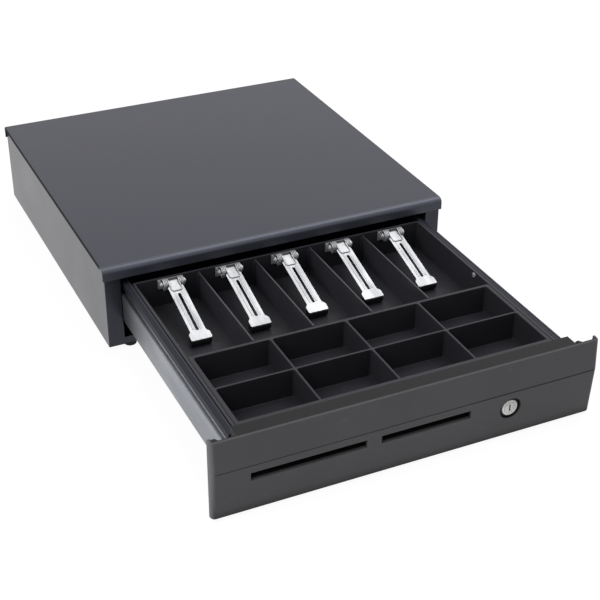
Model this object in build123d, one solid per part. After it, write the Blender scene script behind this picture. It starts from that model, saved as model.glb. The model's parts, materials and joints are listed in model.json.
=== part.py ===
from build123d import *
from math import asin, atan2, cos, degrees, hypot, pi, radians, sin, sqrt
import os

# A steel cash drawer. +Z is up and -Y is the front. The origin lies on the table under the middle
# of the drawer as it stands open. All lengths are in millimetres.

# Steel sheet and the cabinet shell
sheet = 1.0
cover_width = 410.0
cover_depth = 410.0
cabinet_height = 97.0
foot_height = 7.0
cover_lip_height = 14.0
cover_lip_return = 9.0
cover_side_lip_height = 4.0
cover_corner_length = 7.0
cover_overhang = 2.0
cover_front_radius = 6.0
cover_edge_radius = 1.5
post_width = 18.0
post_return = 10.0
post_notch = 4.0
flange_height = 12.0
base_front_flange = 8.0
bend_radius = 1.5
top_rail_depth = 16.0
seam_gap = 0.2

# Screws, all of one pan-head size
screw_radius = 1.5
screw_head_radius = 3.2
screw_head_height = 1.8
screw_length = 7.0
screw_play = 0.05
screw_slot_width = 0.9
screw_slot_depth = 0.7
cover_screw_inset = 30.0
cover_screw_drop = 7.0

# Rubber feet and the holes that bolt the cabinet to a counter
foot_radius = 8.0
foot_taper = 1.0
foot_inset_x = 27.0
foot_inset_front = 11.0
foot_inset_back = 30.0
foot_recess_radius = 4.0
foot_recess_depth = 4.2
counter_hole_radius = 2.25
counter_hole_inset_x = 70.0
counter_hole_inset_y = 55.0

# Drawer opening, travel and box
closed_gap = 1.4
slide_clearance = 0.5
mechanism_space = 54.4
drawer_held_length = 65.0
drawer_top_gap = 8.0
under_drawer_space = 16.0
drawer_hem_width = 5.7
drawer_hem_height = 7.5

# Ball slides
rail_thickness = 8.5
rail_hem_gap = 6.0
rail_floor_gap = 12.0
rail_sheet = 1.2
rail_lip = 6.0
rail_front_inset = 3.0
rail_back_inset = 2.0
channel_front_inset = 12.0
channel_back_gap = 44.0
channel_gap = 2.5
channel_wall_gap = 2.2
ball_radius = 1.6
ball_play = 0.1
groove_depth = 0.8
balls_per_race = 6
ball_pitch = 7.0
cage_sheet = 0.6
slide_bracket_length = 48.0
slide_bracket_foot = 13.0
slide_bracket_height = 32.0
slide_bracket_front_inset = 14.0
slide_bracket_back_inset = 14.0

# Moulded front panel
panel_overhang = 1.4
panel_lap = 0.3
panel_table_gap = 2.3
panel_depth = 19.5
panel_top_setback = 2.0
panel_bottom_setback = 4.0
panel_crease_share = 0.616
panel_end_chamfer_x = 4.3
panel_end_chamfer_y = 5.1
panel_end_depth = 10.0
panel_end_corner_radius = 6.0
panel_edge_radius = 1.8
panel_wall = 3.0
panel_boss_radius = 4.5
panel_boss_inset_x = 26.0
panel_boss_top_drop = 6.5
panel_boss_bottom_rise = 8.0
panel_rib = 2.0
panel_rib_gap = 3.0
bumper_radius = 4.0
bumper_gap = 0.4
bumper_inset_x = 11.0
bumper_inset_z = 15.0

# Media slots through the panel and the drawer's front wall
slot_height = 7.5
slot_floor_height = 17.0
slot_tunnel_wall = 2.0
slot_side_inset = 7.7
slot_gap = 15.3
slot_lock_gap = 45.7
left_slot_share = 0.549

# Lock
lock_side_inset = 68.3
lock_height = 13.3
lock_recess_radius = 12.0
lock_recess_depth = 3.0
lock_face_radius = 8.8
lock_face_thickness = 2.4
lock_body_radius = 8.0
lock_body_length = 31.0
lock_body_play = 0.3
lock_nut_width = 20.0
lock_nut_thickness = 4.0
plug_radius = 6.2
plug_play = 0.05
plug_face_step = 0.5
keyway_width = 1.8
keyway_length = 7.5
keyway_depth = 9.0
cam_length = 24.0
cam_width = 12.0
cam_thickness = 2.0
cam_gap = 0.3
cam_slot_play = 2.0
catch_height = 10.0
catch_width = 22.0
catch_play = 1.0

# Till, coin tray and note dividers
till_side_gap = 1.0
till_front_gap = 2.6
till_back_space = 64.4
till_rise = 0.5
till_wall = 3.0
till_floor = 2.0
till_rim_radius = 0.9
under_till_height = 23.5
cross_wall = 2.0
cross_wall_drop = 3.0
coin_tray_gap = 0.5
coin_tray_side_wall = 4.5
coin_tray_front_wall = 7.3
coin_tray_back_wall = 3.7
coin_divider = 2.4
coin_scoop_radius = 12.0
coin_columns = 4
coin_rows = 2
note_bays = 5
note_bay_share = 0.543
bay_side_gap = 5.0
note_divider = 2.0
note_divider_drop = 1.0
note_divider_gap = 0.3
guide_rib = 1.2
guide_rib_depth = 4.0
guide_rib_play = 0.2
rivet_radius = 3.0
rivet_head_height = 1.4
rivet_setback = 26.0
rivet_drop = 4.5
till_ledge = 12.0
till_ledge_rise = 12.0
till_stop_gap = 0.8
till_stop_height = 14.0

# Note clips
clip_arm_length = 88.0
clip_arm_width = 17.0
clip_sheet = 1.2
clip_neck_width = 9.5
clip_neck_length = 8.0
clip_end_width = 23.0
clip_end_length = 9.0
clip_flare_length = 3.0
clip_corner_radius = 1.5
clip_slot_width = 3.4
clip_slot_start = 19.0
clip_slot_end_gap = 1.0
clip_pin_radius = 2.0
clip_pin_play = 0.05
clip_knuckle_wall = 1.25
clip_pad_width = 22.4
clip_pad_depth = 8.5
clip_pad_height = 8.0
clip_pad_radius = 2.2
clip_rest_gap = 0.3
clip_pin_drop = 2.5
clip_pin_setback = 9.5
clip_bracket_height = 13.0
clip_ear_radius = 3.6
clip_pin_end = 1.0

# Torsion spring of a note clip, one wire with two coils
spring_wire_radius = 0.6
spring_coil_radius = 6.0
spring_turn_gap = 0.48
spring_side_gap = 0.5
spring_leg_gap = 0.3
spring_lead_gap = 0.1
spring_whole_turns = 3
spring_leg_angle = 35.0
spring_lead_angle = 120.0
spring_landing_reach = 9.0
spring_bridge_reach = 15.0
spring_bend_radius = 2.5

# Latch at the back of the cabinet
strike_reach = 12.0
strike_height = 9.0
strike_width = 20.0
strike_sheet = 1.5
strike_pin_radius = 2.5
latch_floor_height = 17.0
latch_thickness = 2.5
latch_pin_radius = 2.5
latch_pin_play = 0.05
latch_pin_offset = 8.0
latch_hub_radius = 5.5
latch_arm_width = 5.5
latch_nose_depth = 4.0
latch_nose_gap = 1.0
latch_nose_overlap = 3.0
latch_reach = 18.0
latch_tail_reach = 14.0
latch_slot_play = 0.25
latch_slot_length = 6.5
latch_bracket_width = 44.0
latch_bracket_sheet = 1.5

# Solenoid that pulls the latch
solenoid_length = 30.0
solenoid_depth = 20.0
solenoid_height = 20.0
solenoid_frame_sheet = 1.5
solenoid_gap = 16.0
coil_radius = 8.0
coil_gap = 0.3
plunger_radius = 3.2
plunger_play = 0.08
plunger_insertion = 18.0
plunger_collar_radius = 5.0
plunger_collar_thickness = 1.5
plunger_link_width = 5.0
plunger_link_thickness = 1.5
plunger_pin_radius = 1.5
plunger_spring_wire = 0.4
plunger_spring_turns = 5

# Push rod that starts the drawer outwards
push_travel = 18.0
push_x = 92.0
push_height = 38.0
push_head_radius = 8.0
push_head_thickness = 3.0
push_rod_radius = 2.5
push_rod_play = 0.1
push_rod_length = 47.0
push_gap = 0.5
push_clip_radius = 4.5
push_clip_thickness = 1.0
push_bracket_width = 24.0
push_bracket_sheet = 2.0
push_bracket_setback = 22.0
push_bracket_rise = 8.0
push_spring_wire = 0.7
push_spring_turns = 6
push_spring_gap = 0.4

# Telephone-type socket on the back and the lead to the solenoid
jack_inset = 83.0
jack_width = 15.0
jack_height = 13.0
jack_depth = 18.0
jack_rise = 14.0
jack_face_width = 11.5
jack_face_height = 8.0
jack_bore_depth = 12.0
jack_play = 0.2
lead_radius = 1.4
lead_bend_radius = 14.0
lead_straight_share = 0.33

# Places worked out from the sizes above
drawer_depth = closed_gap + cover_depth - 2 * sheet - mechanism_space
drawer_travel = drawer_depth - drawer_held_length
rest_length = cover_depth + screw_head_height + closed_gap + drawer_travel + panel_depth
cover_front = rest_length / 2 - screw_head_height - cover_depth
cover_back = cover_front + cover_depth
cover_half = cover_width / 2
cover_top = foot_height + cabinet_height
shell_half = cover_half - cover_overhang
shell_front = cover_front + cover_overhang
shell_back = cover_back - sheet
shell_top = cover_top - sheet
back_wall = shell_back - sheet
opening_half = shell_half - post_width
drawer_half = opening_half - slide_clearance - rail_thickness
drawer_front = cover_front - closed_gap - drawer_travel
drawer_back = drawer_front + drawer_depth
drawer_floor = foot_height + under_drawer_space
drawer_floor_top = drawer_floor + sheet
drawer_top = cover_top - cover_lip_height - drawer_top_gap
rail_outer = drawer_half + rail_thickness
rail_top = drawer_top - drawer_hem_height - rail_hem_gap
rail_bottom = drawer_floor + rail_floor_gap
rail_centre = (rail_bottom + rail_top) / 2
rail_half_height = (rail_top - rail_bottom) / 2
rail_length = drawer_depth - rail_front_inset - rail_back_inset
channel_front = shell_front + channel_front_inset
channel_back = back_wall - channel_back_gap
ball_offset = rail_half_height - groove_depth + ball_radius + ball_play
ball_x = drawer_half + rail_thickness / 2
channel_inner_half = ball_offset + ball_radius + ball_play - groove_depth
channel_web = rail_outer + channel_gap
cage_length = (balls_per_race + 1 / 2) * ball_pitch
panel_width = cover_width + 2 * panel_overhang
panel_front = drawer_front - panel_depth
panel_bottom = panel_table_gap
panel_top = cover_top - cover_lip_height + panel_lap
panel_height = panel_top - panel_bottom
slot_z = (drawer_floor + slot_floor_height, drawer_floor + slot_floor_height + slot_height)
lock_x = drawer_half - lock_side_inset
lock_z = drawer_floor + lock_height
till_half = drawer_half - sheet - till_side_gap
till_front = drawer_front + sheet + till_front_gap
till_back = drawer_back - sheet - till_back_space
till_bottom = drawer_floor_top + under_till_height
till_top = drawer_top + till_rise
bay_floor = till_bottom + till_floor
bay_back = till_back - till_wall
cross_back = bay_back - note_bay_share * (bay_back - till_front - till_wall)
cross_front = cross_back - cross_wall
coin_front = till_front + till_wall + coin_tray_gap
coin_back = cross_front - coin_tray_gap
note_pitch = 2 * (till_half - till_wall - bay_side_gap) / note_bays
clip_pin_y = bay_back - clip_pin_setback
clip_pin_z = till_top - clip_pin_drop
jack_x = -(shell_half - jack_inset)


def block(x, y, z):
    """A box between two values on each axis."""
    sizes = [high - low for low, high in (x, y, z)]
    middle = [(low + high) / 2 for low, high in (x, y, z)]
    return Pos(*middle) * Box(*sizes)


def rod_x(radius, y, z, x):
    return Pos((x[0] + x[1]) / 2, y, z) * Rot(Y=90) * Cylinder(radius, x[1] - x[0])


def rod_y(radius, x, z, y):
    return Pos(x, (y[0] + y[1]) / 2, z) * Rot(X=90) * Cylinder(radius, y[1] - y[0])


def rod_z(radius, x, y, z):
    return Pos(x, y, (z[0] + z[1]) / 2) * Cylinder(radius, z[1] - z[0])


def flat(u, v):
    """A rectangle between two values on each axis of a profile."""
    return Pos((u[0] + u[1]) / 2, (v[0] + v[1]) / 2) * Rectangle(u[1] - u[0], v[1] - v[0])


def along_x(profile, x):
    return extrude(Plane.YZ.offset(x[0]) * profile, x[1] - x[0])


def along_y(profile, y):
    return extrude(Plane.XZ.offset(-y[1]) * profile, y[1] - y[0])


def along_z(profile, z):
    return extrude(Plane.XY.offset(z[0]) * profile, z[1] - z[0])


def folded(points, thickness, radius):
    """The profile of a bent sheet whose middle line runs through the points."""
    return trace(FilletPolyline(*points, radius=radius), thickness)


def both(low, high=None):
    """Two values, one each side of zero, or a span on the other side."""
    return (-low, low) if high is None else (-high, -low)


def other_side(shape):
    return mirror(shape, about=Plane.YZ)


def biarc(start, start_way, end, end_way):
    """Two arcs that leave start and reach end in the given directions."""
    span = end - start
    ways = start_way + end_way
    turn = 2 * (1 - start_way.dot(end_way))
    reach = (sqrt(span.dot(ways) ** 2 + turn * span.dot(span)) - span.dot(ways)) / turn
    middle = (start + start_way * reach + end - end_way * reach) / 2
    return [
        TangentArc(start, middle, tangent=start_way),
        TangentArc(middle, end, tangent=-end_way, tangent_from_first=False),
    ]


def coil(point, way, first, last, turns_per_arc_pair):
    """Arcs along a coil, from angle first to last, a biarc for each share of a turn."""
    count = max(1, round((last - first) / (2 * pi * turns_per_arc_pair)))
    angles = [first + (last - first) * step / count for step in range(count + 1)]
    arcs = []
    for low, high in zip(angles, angles[1:]):
        arcs += biarc(point(low), way(low), point(high), way(high))
    return arcs


def least_gap(wire, wire_radius, turn_length):
    """The least distance between two stretches of a wire that are over half a turn apart."""
    step = wire_radius
    count = int(wire.length / step)
    points = [wire @ (index / count) for index in range(count + 1)]
    apart = int(turn_length / 2 / step)
    gaps = [
        (points[i] - points[j]).length
        for i in range(count + 1)
        for j in range(i + apart, count + 1)
    ]
    return min(gaps) - 2 * wire_radius


def tube(wire, radius):
    """A round wire along a path."""
    return sweep(Plane(origin=wire @ 0, z_dir=wire % 0) * Circle(radius), path=wire)


def screw(length):
    """A pan-head screw with its head above z = 0 and its shank below."""
    head = Cylinder(screw_head_radius, screw_head_height, align=(Align.CENTER, Align.CENTER, Align.MIN))
    head = fillet(head.edges().group_by(Axis.Z)[-1], screw_head_height / 2)
    slot = Pos(Z=screw_head_height) * Box(2 * screw_head_radius, screw_slot_width, 2 * screw_slot_depth)
    shank = Cylinder(screw_radius, length, align=(Align.CENTER, Align.CENTER, Align.MAX))
    return head - slot + shank


# Places of the repeated screws and feet
foot_x = shell_half - foot_inset_x
foot_front = shell_front + foot_inset_front
foot_back = shell_back - foot_inset_back
foot_places = [(x, y) for x in both(foot_x) for y in (foot_front, foot_back)]
cover_screw_z = cover_top - cover_screw_drop
cover_screw_places = [-shell_half + cover_screw_inset, 0, shell_half - cover_screw_inset]
panel_boss_x = drawer_half - panel_boss_inset_x
panel_screw_places = [
    (x, z)
    for x in (-panel_boss_x, 0, panel_boss_x)
    for z in (drawer_floor + panel_boss_bottom_rise, drawer_top - panel_boss_top_drop)
]
counter_x = shell_half - counter_hole_inset_x
counter_holes = [
    (x, y)
    for x in both(counter_x)
    for y in (shell_front + counter_hole_inset_y, shell_back - counter_hole_inset_y)
]
slot_start = -(drawer_half - slot_side_inset)
slot_end = lock_x - slot_lock_gap
left_slot = (slot_start, slot_start + left_slot_share * (slot_end - slot_start - slot_gap))
right_slot = (left_slot[1] + slot_gap, slot_end)
media_slots = [left_slot, right_slot]


def make_top_cover():
    """The lid: a rolled front edge, short side lips and a back lip over the back panel."""
    outer = block(both(cover_half), (cover_front, cover_back), (cover_top - cover_lip_height, cover_top))
    front_edge = outer.edges().filter_by(Axis.X).group_by(Axis.Y)[0].sort_by(Axis.Z)[-1]
    outer = fillet(front_edge, cover_front_radius)
    side_edges = outer.edges().filter_by(Axis.Y).group_by(Axis.Z)[-1]
    outer = fillet(side_edges, cover_edge_radius)
    inside = block(
        both(cover_half - sheet),
        (cover_front + sheet, cover_back - sheet),
        (cover_top - cover_lip_height, cover_top - sheet),
    )
    inner_edge = inside.edges().filter_by(Axis.X).group_by(Axis.Y)[0].sort_by(Axis.Z)[-1]
    inside = fillet(inner_edge, cover_front_radius - sheet)
    cover = outer - inside
    below_side_lip = (cover_top - cover_lip_height, cover_top - cover_side_lip_height)
    side_span = (cover_front + cover_corner_length, cover_back - sheet)
    for x in ((shell_half, cover_half), both(shell_half, cover_half)):
        cover -= block(x, side_span, below_side_lip)
    cover += block(
        both(cover_half - sheet),
        (cover_front + sheet, cover_front + cover_lip_return),
        (cover_top - cover_lip_height, cover_top - cover_lip_height + sheet),
    ) - block(
        (opening_half, cover_half),
        (shell_front, cover_back),
        (foot_height, cover_top),
    ) - block(
        both(opening_half, cover_half),
        (shell_front, cover_back),
        (foot_height, cover_top),
    )
    for x in cover_screw_places:
        cover -= rod_y(screw_radius + screw_play, x, cover_screw_z, (shell_back, cover_back))
    return cover


def make_side_panel():
    """The right side: one sheet folded into the front post and a stiffening return."""
    web = shell_half - sheet / 2
    post_y = shell_front + sheet / 2
    edge = opening_half + sheet / 2
    profile = folded(
        [(web, shell_back), (web, post_y), (edge, post_y), (edge, post_y + post_return)],
        sheet,
        bend_radius,
    )
    panel = along_z(profile, (foot_height, shell_top))
    notch = (cover_front, cover_front + cover_front_radius)
    return panel - block((opening_half, shell_half), notch, (shell_top - post_notch, shell_top))


def make_base_pan():
    """The floor of the cabinet with its upturned flanges, holes and the lock's catch."""
    half = shell_half - sheet
    back = shell_back - sheet
    front = shell_front + sheet + seam_gap
    middle = foot_height + sheet / 2
    profile = folded(
        [
            (-half + sheet / 2, foot_height + flange_height),
            (-half + sheet / 2, middle),
            (half - sheet / 2, middle),
            (half - sheet / 2, foot_height + flange_height),
        ],
        sheet,
        bend_radius,
    )
    pan = along_y(profile, (front + post_return, back))
    pan += block(both(opening_half), (front, front + post_return), (foot_height, foot_height + sheet))
    pan += block(both(opening_half), (front, front + sheet), (foot_height, foot_height + base_front_flange))
    pan += block(both(half - bend_radius), (back - sheet, back), (foot_height, foot_height + flange_height))
    catch_front = cam_front + drawer_travel - catch_play - sheet
    pan += block(
        (lock_x - catch_width / 2, lock_x + catch_width / 2),
        (catch_front, catch_front + sheet),
        (foot_height, foot_height + sheet + catch_height),
    )
    floor_span = (foot_height, foot_height + sheet)
    for x, y in foot_places:
        pan -= rod_z(screw_radius + screw_play, x, y, floor_span)
    for x, y in counter_holes:
        pan -= rod_z(counter_hole_radius, x, y, floor_span)
    return pan


def make_rear_panel():
    """The back wall between the sides, with the socket's cut-out."""
    half = shell_half - sheet
    panel = block(both(half), (shell_back - sheet, shell_back), (foot_height, shell_top))
    jack_bottom = foot_height + jack_rise
    panel -= block(
        (jack_x - jack_width / 2 - jack_play, jack_x + jack_width / 2 + jack_play),
        (shell_back - sheet, shell_back),
        (jack_bottom - jack_play, jack_bottom + jack_height + jack_play),
    )
    for x in cover_screw_places:
        panel -= rod_y(screw_radius + screw_play, x, cover_screw_z, (shell_back - sheet, shell_back))
    return panel


def make_front_top_rail():
    """The cross rail under the cover's front edge that joins the two posts."""
    front = cover_front + cover_lip_return + seam_gap
    top = shell_top - sheet / 2
    bottom = cover_top - cover_lip_height + sheet / 2
    profile = folded(
        [
            (front + top_rail_depth, top),
            (front + sheet / 2, top),
            (front + sheet / 2, bottom),
            (front + top_rail_depth, bottom),
        ],
        sheet,
        bend_radius,
    )
    return along_x(profile, both(opening_half - seam_gap))


def make_cabinet_screws():
    """The screws of the feet, driven from below, and those of the cover, from behind."""
    foot_head = foot_recess_depth
    feet = [Pos(x, y, foot_head) * Rot(X=180) * screw(screw_length) for x, y in foot_places]
    cover = [
        Pos(x, cover_back, cover_screw_z) * Rot(X=-90) * screw(screw_length) for x in cover_screw_places
    ]
    return Compound(feet + cover)


def make_rubber_feet():
    """Four tapered feet with a recess for the screw."""
    feet = []
    for x, y in foot_places:
        foot = Pos(x, y) * Cone(
            foot_radius - foot_taper,
            foot_radius,
            foot_height,
            align=(Align.CENTER, Align.CENTER, Align.MIN),
        )
        foot -= rod_z(foot_recess_radius, x, y, (0, foot_recess_depth))
        foot -= rod_z(screw_radius + screw_play, x, y, (foot_recess_depth, foot_height))
        feet.append(foot)
    return Compound(feet)


def ball_places():
    """The middle of each ball of the right slide, across, along and up."""
    start = cage_middle - (balls_per_race - 1) * ball_pitch / 2
    return [
        (ball_x, start + index * ball_pitch, rail_centre + side * ball_offset)
        for side in (-1, 1)
        for index in range(balls_per_race)
    ]


def race_circles(radius):
    """Circles round the two rows of balls, in the slide's profile."""
    upper = Pos(ball_x, rail_centre + ball_offset) * Circle(radius)
    lower = Pos(ball_x, rail_centre - ball_offset) * Circle(radius)
    return upper + lower


def make_slide_rail():
    """The right moving member: a closed channel that opens to the drawer wall."""
    outline = flat((drawer_half, rail_outer), (rail_centre - rail_half_height, rail_centre + rail_half_height))
    outline = fillet(outline.vertices().group_by(Axis.X)[-1], rail_sheet)
    inner_half = rail_half_height - rail_sheet
    hollow = flat((drawer_half + rail_sheet, rail_outer - rail_sheet), (rail_centre - inner_half, rail_centre + inner_half))
    gap_half = rail_half_height - rail_lip
    mouth = flat((drawer_half, drawer_half + rail_sheet), (rail_centre - gap_half, rail_centre + gap_half))
    race = ball_radius + ball_play
    profile = outline - hollow - mouth + (race_circles(race + rail_sheet) & outline) - race_circles(race)
    start = drawer_front + rail_front_inset
    return along_y(profile, (start, start + rail_length))


def make_slide_channel():
    """The right fixed member: a wider channel whose lips hold the balls from outside."""
    outer_half = channel_inner_half + rail_sheet
    inner_edge = drawer_half + channel_wall_gap
    outline = flat((inner_edge, channel_web + rail_sheet), (rail_centre - outer_half, rail_centre + outer_half))
    outline = fillet(outline.vertices().group_by(Axis.X)[-1], rail_sheet)
    hollow = flat((drawer_half, channel_web), (rail_centre - channel_inner_half, rail_centre + channel_inner_half))
    race = ball_radius + ball_play
    profile = outline + race_circles(race + rail_sheet) - hollow - race_circles(race)
    return along_y(profile, (channel_front, channel_back))


def make_slide_brackets():
    """Hat-shaped spacers between each fixed slide member and the side panel."""
    wall = shell_half - sheet - rail_sheet / 2
    face = channel_web + rail_sheet + rail_sheet / 2
    z = (rail_centre - slide_bracket_height / 2, rail_centre + slide_bracket_height / 2)
    starts = (
        channel_front + slide_bracket_front_inset,
        channel_back - slide_bracket_back_inset - slide_bracket_length,
    )
    brackets = []
    for start in starts:
        end = start + slide_bracket_length
        profile = folded(
            [
                (wall, start),
                (wall, start + slide_bracket_foot),
                (face, start + slide_bracket_foot),
                (face, end - slide_bracket_foot),
                (wall, end - slide_bracket_foot),
                (wall, end),
            ],
            rail_sheet,
            bend_radius,
        )
        bracket = along_z(profile, z)
        brackets += [bracket, other_side(bracket)]
    return Compound(brackets)


def make_ball_cages():
    """Thin cages that space the balls, one in each slide."""
    web = (channel_web + rail_outer) / 2
    middle = [
        (drawer_half + rail_sheet + channel_wall_gap, rail_centre + ball_offset),
        (web, rail_centre + ball_offset),
        (web, rail_centre - ball_offset),
        (drawer_half + rail_sheet + channel_wall_gap, rail_centre - ball_offset),
    ]
    profile = folded(middle, cage_sheet, cage_sheet)
    cage = along_y(profile, (cage_middle - cage_length / 2, cage_middle + cage_length / 2))
    for x, y, z in ball_places():
        cage -= rod_z(ball_radius + ball_play, x, y, (z - cage_sheet, z + cage_sheet))
    return Compound([cage, other_side(cage)])


def make_slide_balls():
    """Steel balls in two rows in each slide."""
    balls = [Pos(*place) * Sphere(ball_radius) for place in ball_places()]
    return Compound(balls + [other_side(ball) for ball in balls])


def make_drawer_box():
    """The drawer: floor and hemmed side walls in one fold, with front and back walls."""
    side = drawer_half - sheet / 2
    top = drawer_top - sheet / 2
    hem = drawer_half + drawer_hem_width - sheet / 2
    right = [(hem, drawer_top - drawer_hem_height), (hem, top), (side, top), (side, drawer_floor + sheet / 2)]
    left = [(-x, z) for x, z in reversed(right)]
    profile = folded(right + left, sheet, bend_radius)
    box = along_y(profile, (drawer_front, drawer_back))
    for y in ((drawer_front, drawer_front + sheet), (drawer_back - sheet, drawer_back)):
        box += block(both(side), y, (drawer_floor + sheet / 2, drawer_top - bend_radius))
    wall = (drawer_front, drawer_front + sheet)
    for slot in media_slots:
        box -= block(slot, wall, slot_z)
    box -= rod_y(lock_body_radius + lock_body_play, lock_x, lock_z, wall)
    for x, z in panel_screw_places:
        box -= rod_y(screw_radius + screw_play, x, z, wall)
    cam_sweep = sqrt(cam_length**2 - (lock_z - drawer_floor_top) ** 2)
    box -= block(
        (lock_x - cam_width / 2 - cam_slot_play, lock_x + cam_sweep + cam_slot_play),
        (cam_front - cam_slot_play, cam_front + cam_thickness + cam_slot_play),
        (drawer_floor, drawer_floor + sheet),
    )
    return box


def panel_profile(inset, top_inset):
    """The panel's side view, a little proud at the crease, drawn in by a wall's thickness."""
    crease = panel_bottom + panel_crease_share * panel_height
    points = [
        (drawer_front, panel_bottom + inset),
        (panel_front + panel_bottom_setback + inset, panel_bottom + inset),
        (panel_front + inset, crease),
        (panel_front + panel_top_setback + inset, panel_top - top_inset),
        (drawer_front, panel_top - top_inset),
    ]
    return make_face(Polyline(*points, close=True))


def panel_end_pocket(start):
    """The hollow of the panel's right end, open at the top and round in its front corner."""
    inner_end = panel_width / 2 - panel_wall
    plan = flat((start, inner_end), (panel_front + panel_wall, drawer_front))
    front_corner = plan.vertices().group_by(Axis.Y)[0].sort_by(Axis.X)[-1]
    plan = fillet(front_corner, panel_end_corner_radius)
    return along_x(panel_profile(panel_wall, 0), (start, inner_end)) & along_z(plan, (panel_bottom, panel_top))


def make_front_panel():
    """The moulded front: a hollow shell with bosses, ribs, slot tunnels and the lock's seat."""
    half = panel_width / 2
    body = along_x(panel_profile(0, 0), both(half))
    edges = body.edges().filter_by(Axis.X).sort_by(Axis.Y)
    front_edges = edges.filter_by(lambda edge: edge.center().Y < drawer_front - panel_depth / 2)
    top_and_bottom = front_edges.sort_by(Axis.Z)
    body = fillet([top_and_bottom[0], top_and_bottom[-1]], panel_edge_radius)
    plan = Polyline(
        (-half, drawer_front),
        (-half, panel_front + panel_end_chamfer_y),
        (-half + panel_end_chamfer_x, panel_front),
        (half - panel_end_chamfer_x, panel_front),
        (half, panel_front + panel_end_chamfer_y),
        (half, drawer_front),
        close=True,
    )
    body &= along_z(make_face(plan), (panel_bottom, panel_top))
    end_start = drawer_half + panel_rib_gap + panel_rib / 2
    hollow = along_x(panel_profile(panel_wall, panel_wall), both(end_start))
    pocket = panel_end_pocket(end_start)
    behind_end = block((end_start, half), (panel_front + panel_end_depth, drawer_front), (panel_bottom, panel_top))
    solid_front = body
    additions = []
    rear = (panel_front, drawer_front)
    for x, z in panel_screw_places:
        additions.append(rod_y(panel_boss_radius, x, z, rear))
    for slot in media_slots:
        additions.append(
            block(
                (slot[0] - slot_tunnel_wall, slot[1] + slot_tunnel_wall),
                rear,
                (slot_z[0] - slot_tunnel_wall, slot_z[1] + slot_tunnel_wall),
            )
        )
    additions.append(rod_y(lock_recess_radius + panel_wall / 2, lock_x, lock_z, rear))
    for x in both(drawer_half + panel_rib_gap):
        additions.append(block((x - panel_rib / 2, x + panel_rib / 2), rear, (panel_bottom, panel_top)))
    for x, z in bumper_places():
        additions.append(rod_y(bumper_radius + panel_rib / 2, x, z, rear))
    for cut in (hollow, pocket, behind_end, other_side(pocket), other_side(behind_end)):
        body -= cut
    for addition in additions:
        body += addition & solid_front
    for slot in media_slots:
        body -= block(slot, rear, slot_z)
    body -= rod_y(lock_body_radius + lock_body_play, lock_x, lock_z, rear)
    recess_floor = lock_recess_y
    body -= rod_y(lock_recess_radius, lock_x, lock_z, (panel_front, recess_floor))
    for x, z in panel_screw_places:
        body -= rod_y(screw_radius + screw_play, x, z, (drawer_front - screw_length + sheet, drawer_front))
    return body


def bumper_places():
    half = panel_width / 2 - bumper_inset_x
    heights = (panel_bottom + bumper_inset_z, panel_top - bumper_inset_z)
    return [(x, z) for x in both(half) for z in heights]


def make_panel_bumpers():
    """Rubber buttons on the back of the panel that meet the posts when it shuts."""
    thickness = closed_gap + cover_overhang - bumper_gap
    y = (drawer_front, drawer_front + thickness)
    return Compound([rod_y(bumper_radius, x, z, y) for x, z in bumper_places()])


def make_drawer_screws():
    """The screws that hold the front panel, driven from inside the drawer."""
    place = drawer_front + sheet
    return Compound([Pos(x, place, z) * Rot(X=-90) * screw(screw_length) for x, z in panel_screw_places])


def make_till_supports():
    """Ledges on the drawer's side walls that carry the till, and a stop rail behind it."""
    wall = drawer_half - sheet
    shelf = till_bottom - sheet / 2
    ledge = folded(
        [
            (wall - sheet / 2, shelf - till_ledge_rise),
            (wall - sheet / 2, shelf),
            (wall - till_ledge, shelf),
        ],
        sheet,
        bend_radius,
    )
    y = (drawer_front + sheet, till_back + till_stop_gap)
    right = along_y(ledge, y)
    stop = till_back + till_stop_gap + sheet / 2
    profile = folded(
        [
            (stop, till_bottom + till_stop_height),
            (stop, shelf - till_ledge_rise),
            (stop + till_ledge, shelf - till_ledge_rise),
        ],
        sheet,
        bend_radius,
    )
    rail = along_x(profile, both(wall))
    return Compound([right, other_side(right), rail])


def make_lock_housing():
    """The lock's barrel with its face ring."""
    face = lock_recess_y - lock_face_thickness
    barrel = rod_y(lock_body_radius, lock_x, lock_z, (lock_recess_y, lock_recess_y + lock_body_length))
    ring = rod_y(lock_face_radius, lock_x, lock_z, (face, lock_recess_y))
    ring = fillet(ring.edges().group_by(Axis.Y)[0], lock_face_thickness / 3)
    bore = rod_y(plug_radius + plug_play, lock_x, lock_z, (face, lock_recess_y + lock_body_length))
    return barrel + ring - bore


def make_lock_nut():
    """The hexagon nut that clamps the barrel to the drawer's front wall."""
    y = (drawer_front + sheet, drawer_front + sheet + lock_nut_thickness)
    hexagon = Pos(lock_x, lock_z) * RegularPolygon(lock_nut_width / 2, 6, major_radius=False)
    nut = along_y(hexagon, y)
    return nut - rod_y(lock_body_radius + screw_play, lock_x, lock_z, y)


def make_lock_plug():
    """The turning plug with its keyway and a square end for the cam."""
    face = lock_recess_y - lock_face_thickness - plug_face_step
    end = lock_recess_y + lock_body_length
    plug = rod_y(plug_radius, lock_x, lock_z, (face, end))
    plug = fillet(plug.edges().group_by(Axis.Y)[0], plug_face_step)
    keyway = block(
        (lock_x - keyway_width / 2, lock_x + keyway_width / 2),
        (face, face + keyway_depth),
        (lock_z - keyway_length / 2, lock_z + keyway_length / 2),
    )
    return plug - keyway - rod_y(screw_radius + screw_play, lock_x, lock_z, (end - screw_length, end))


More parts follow.
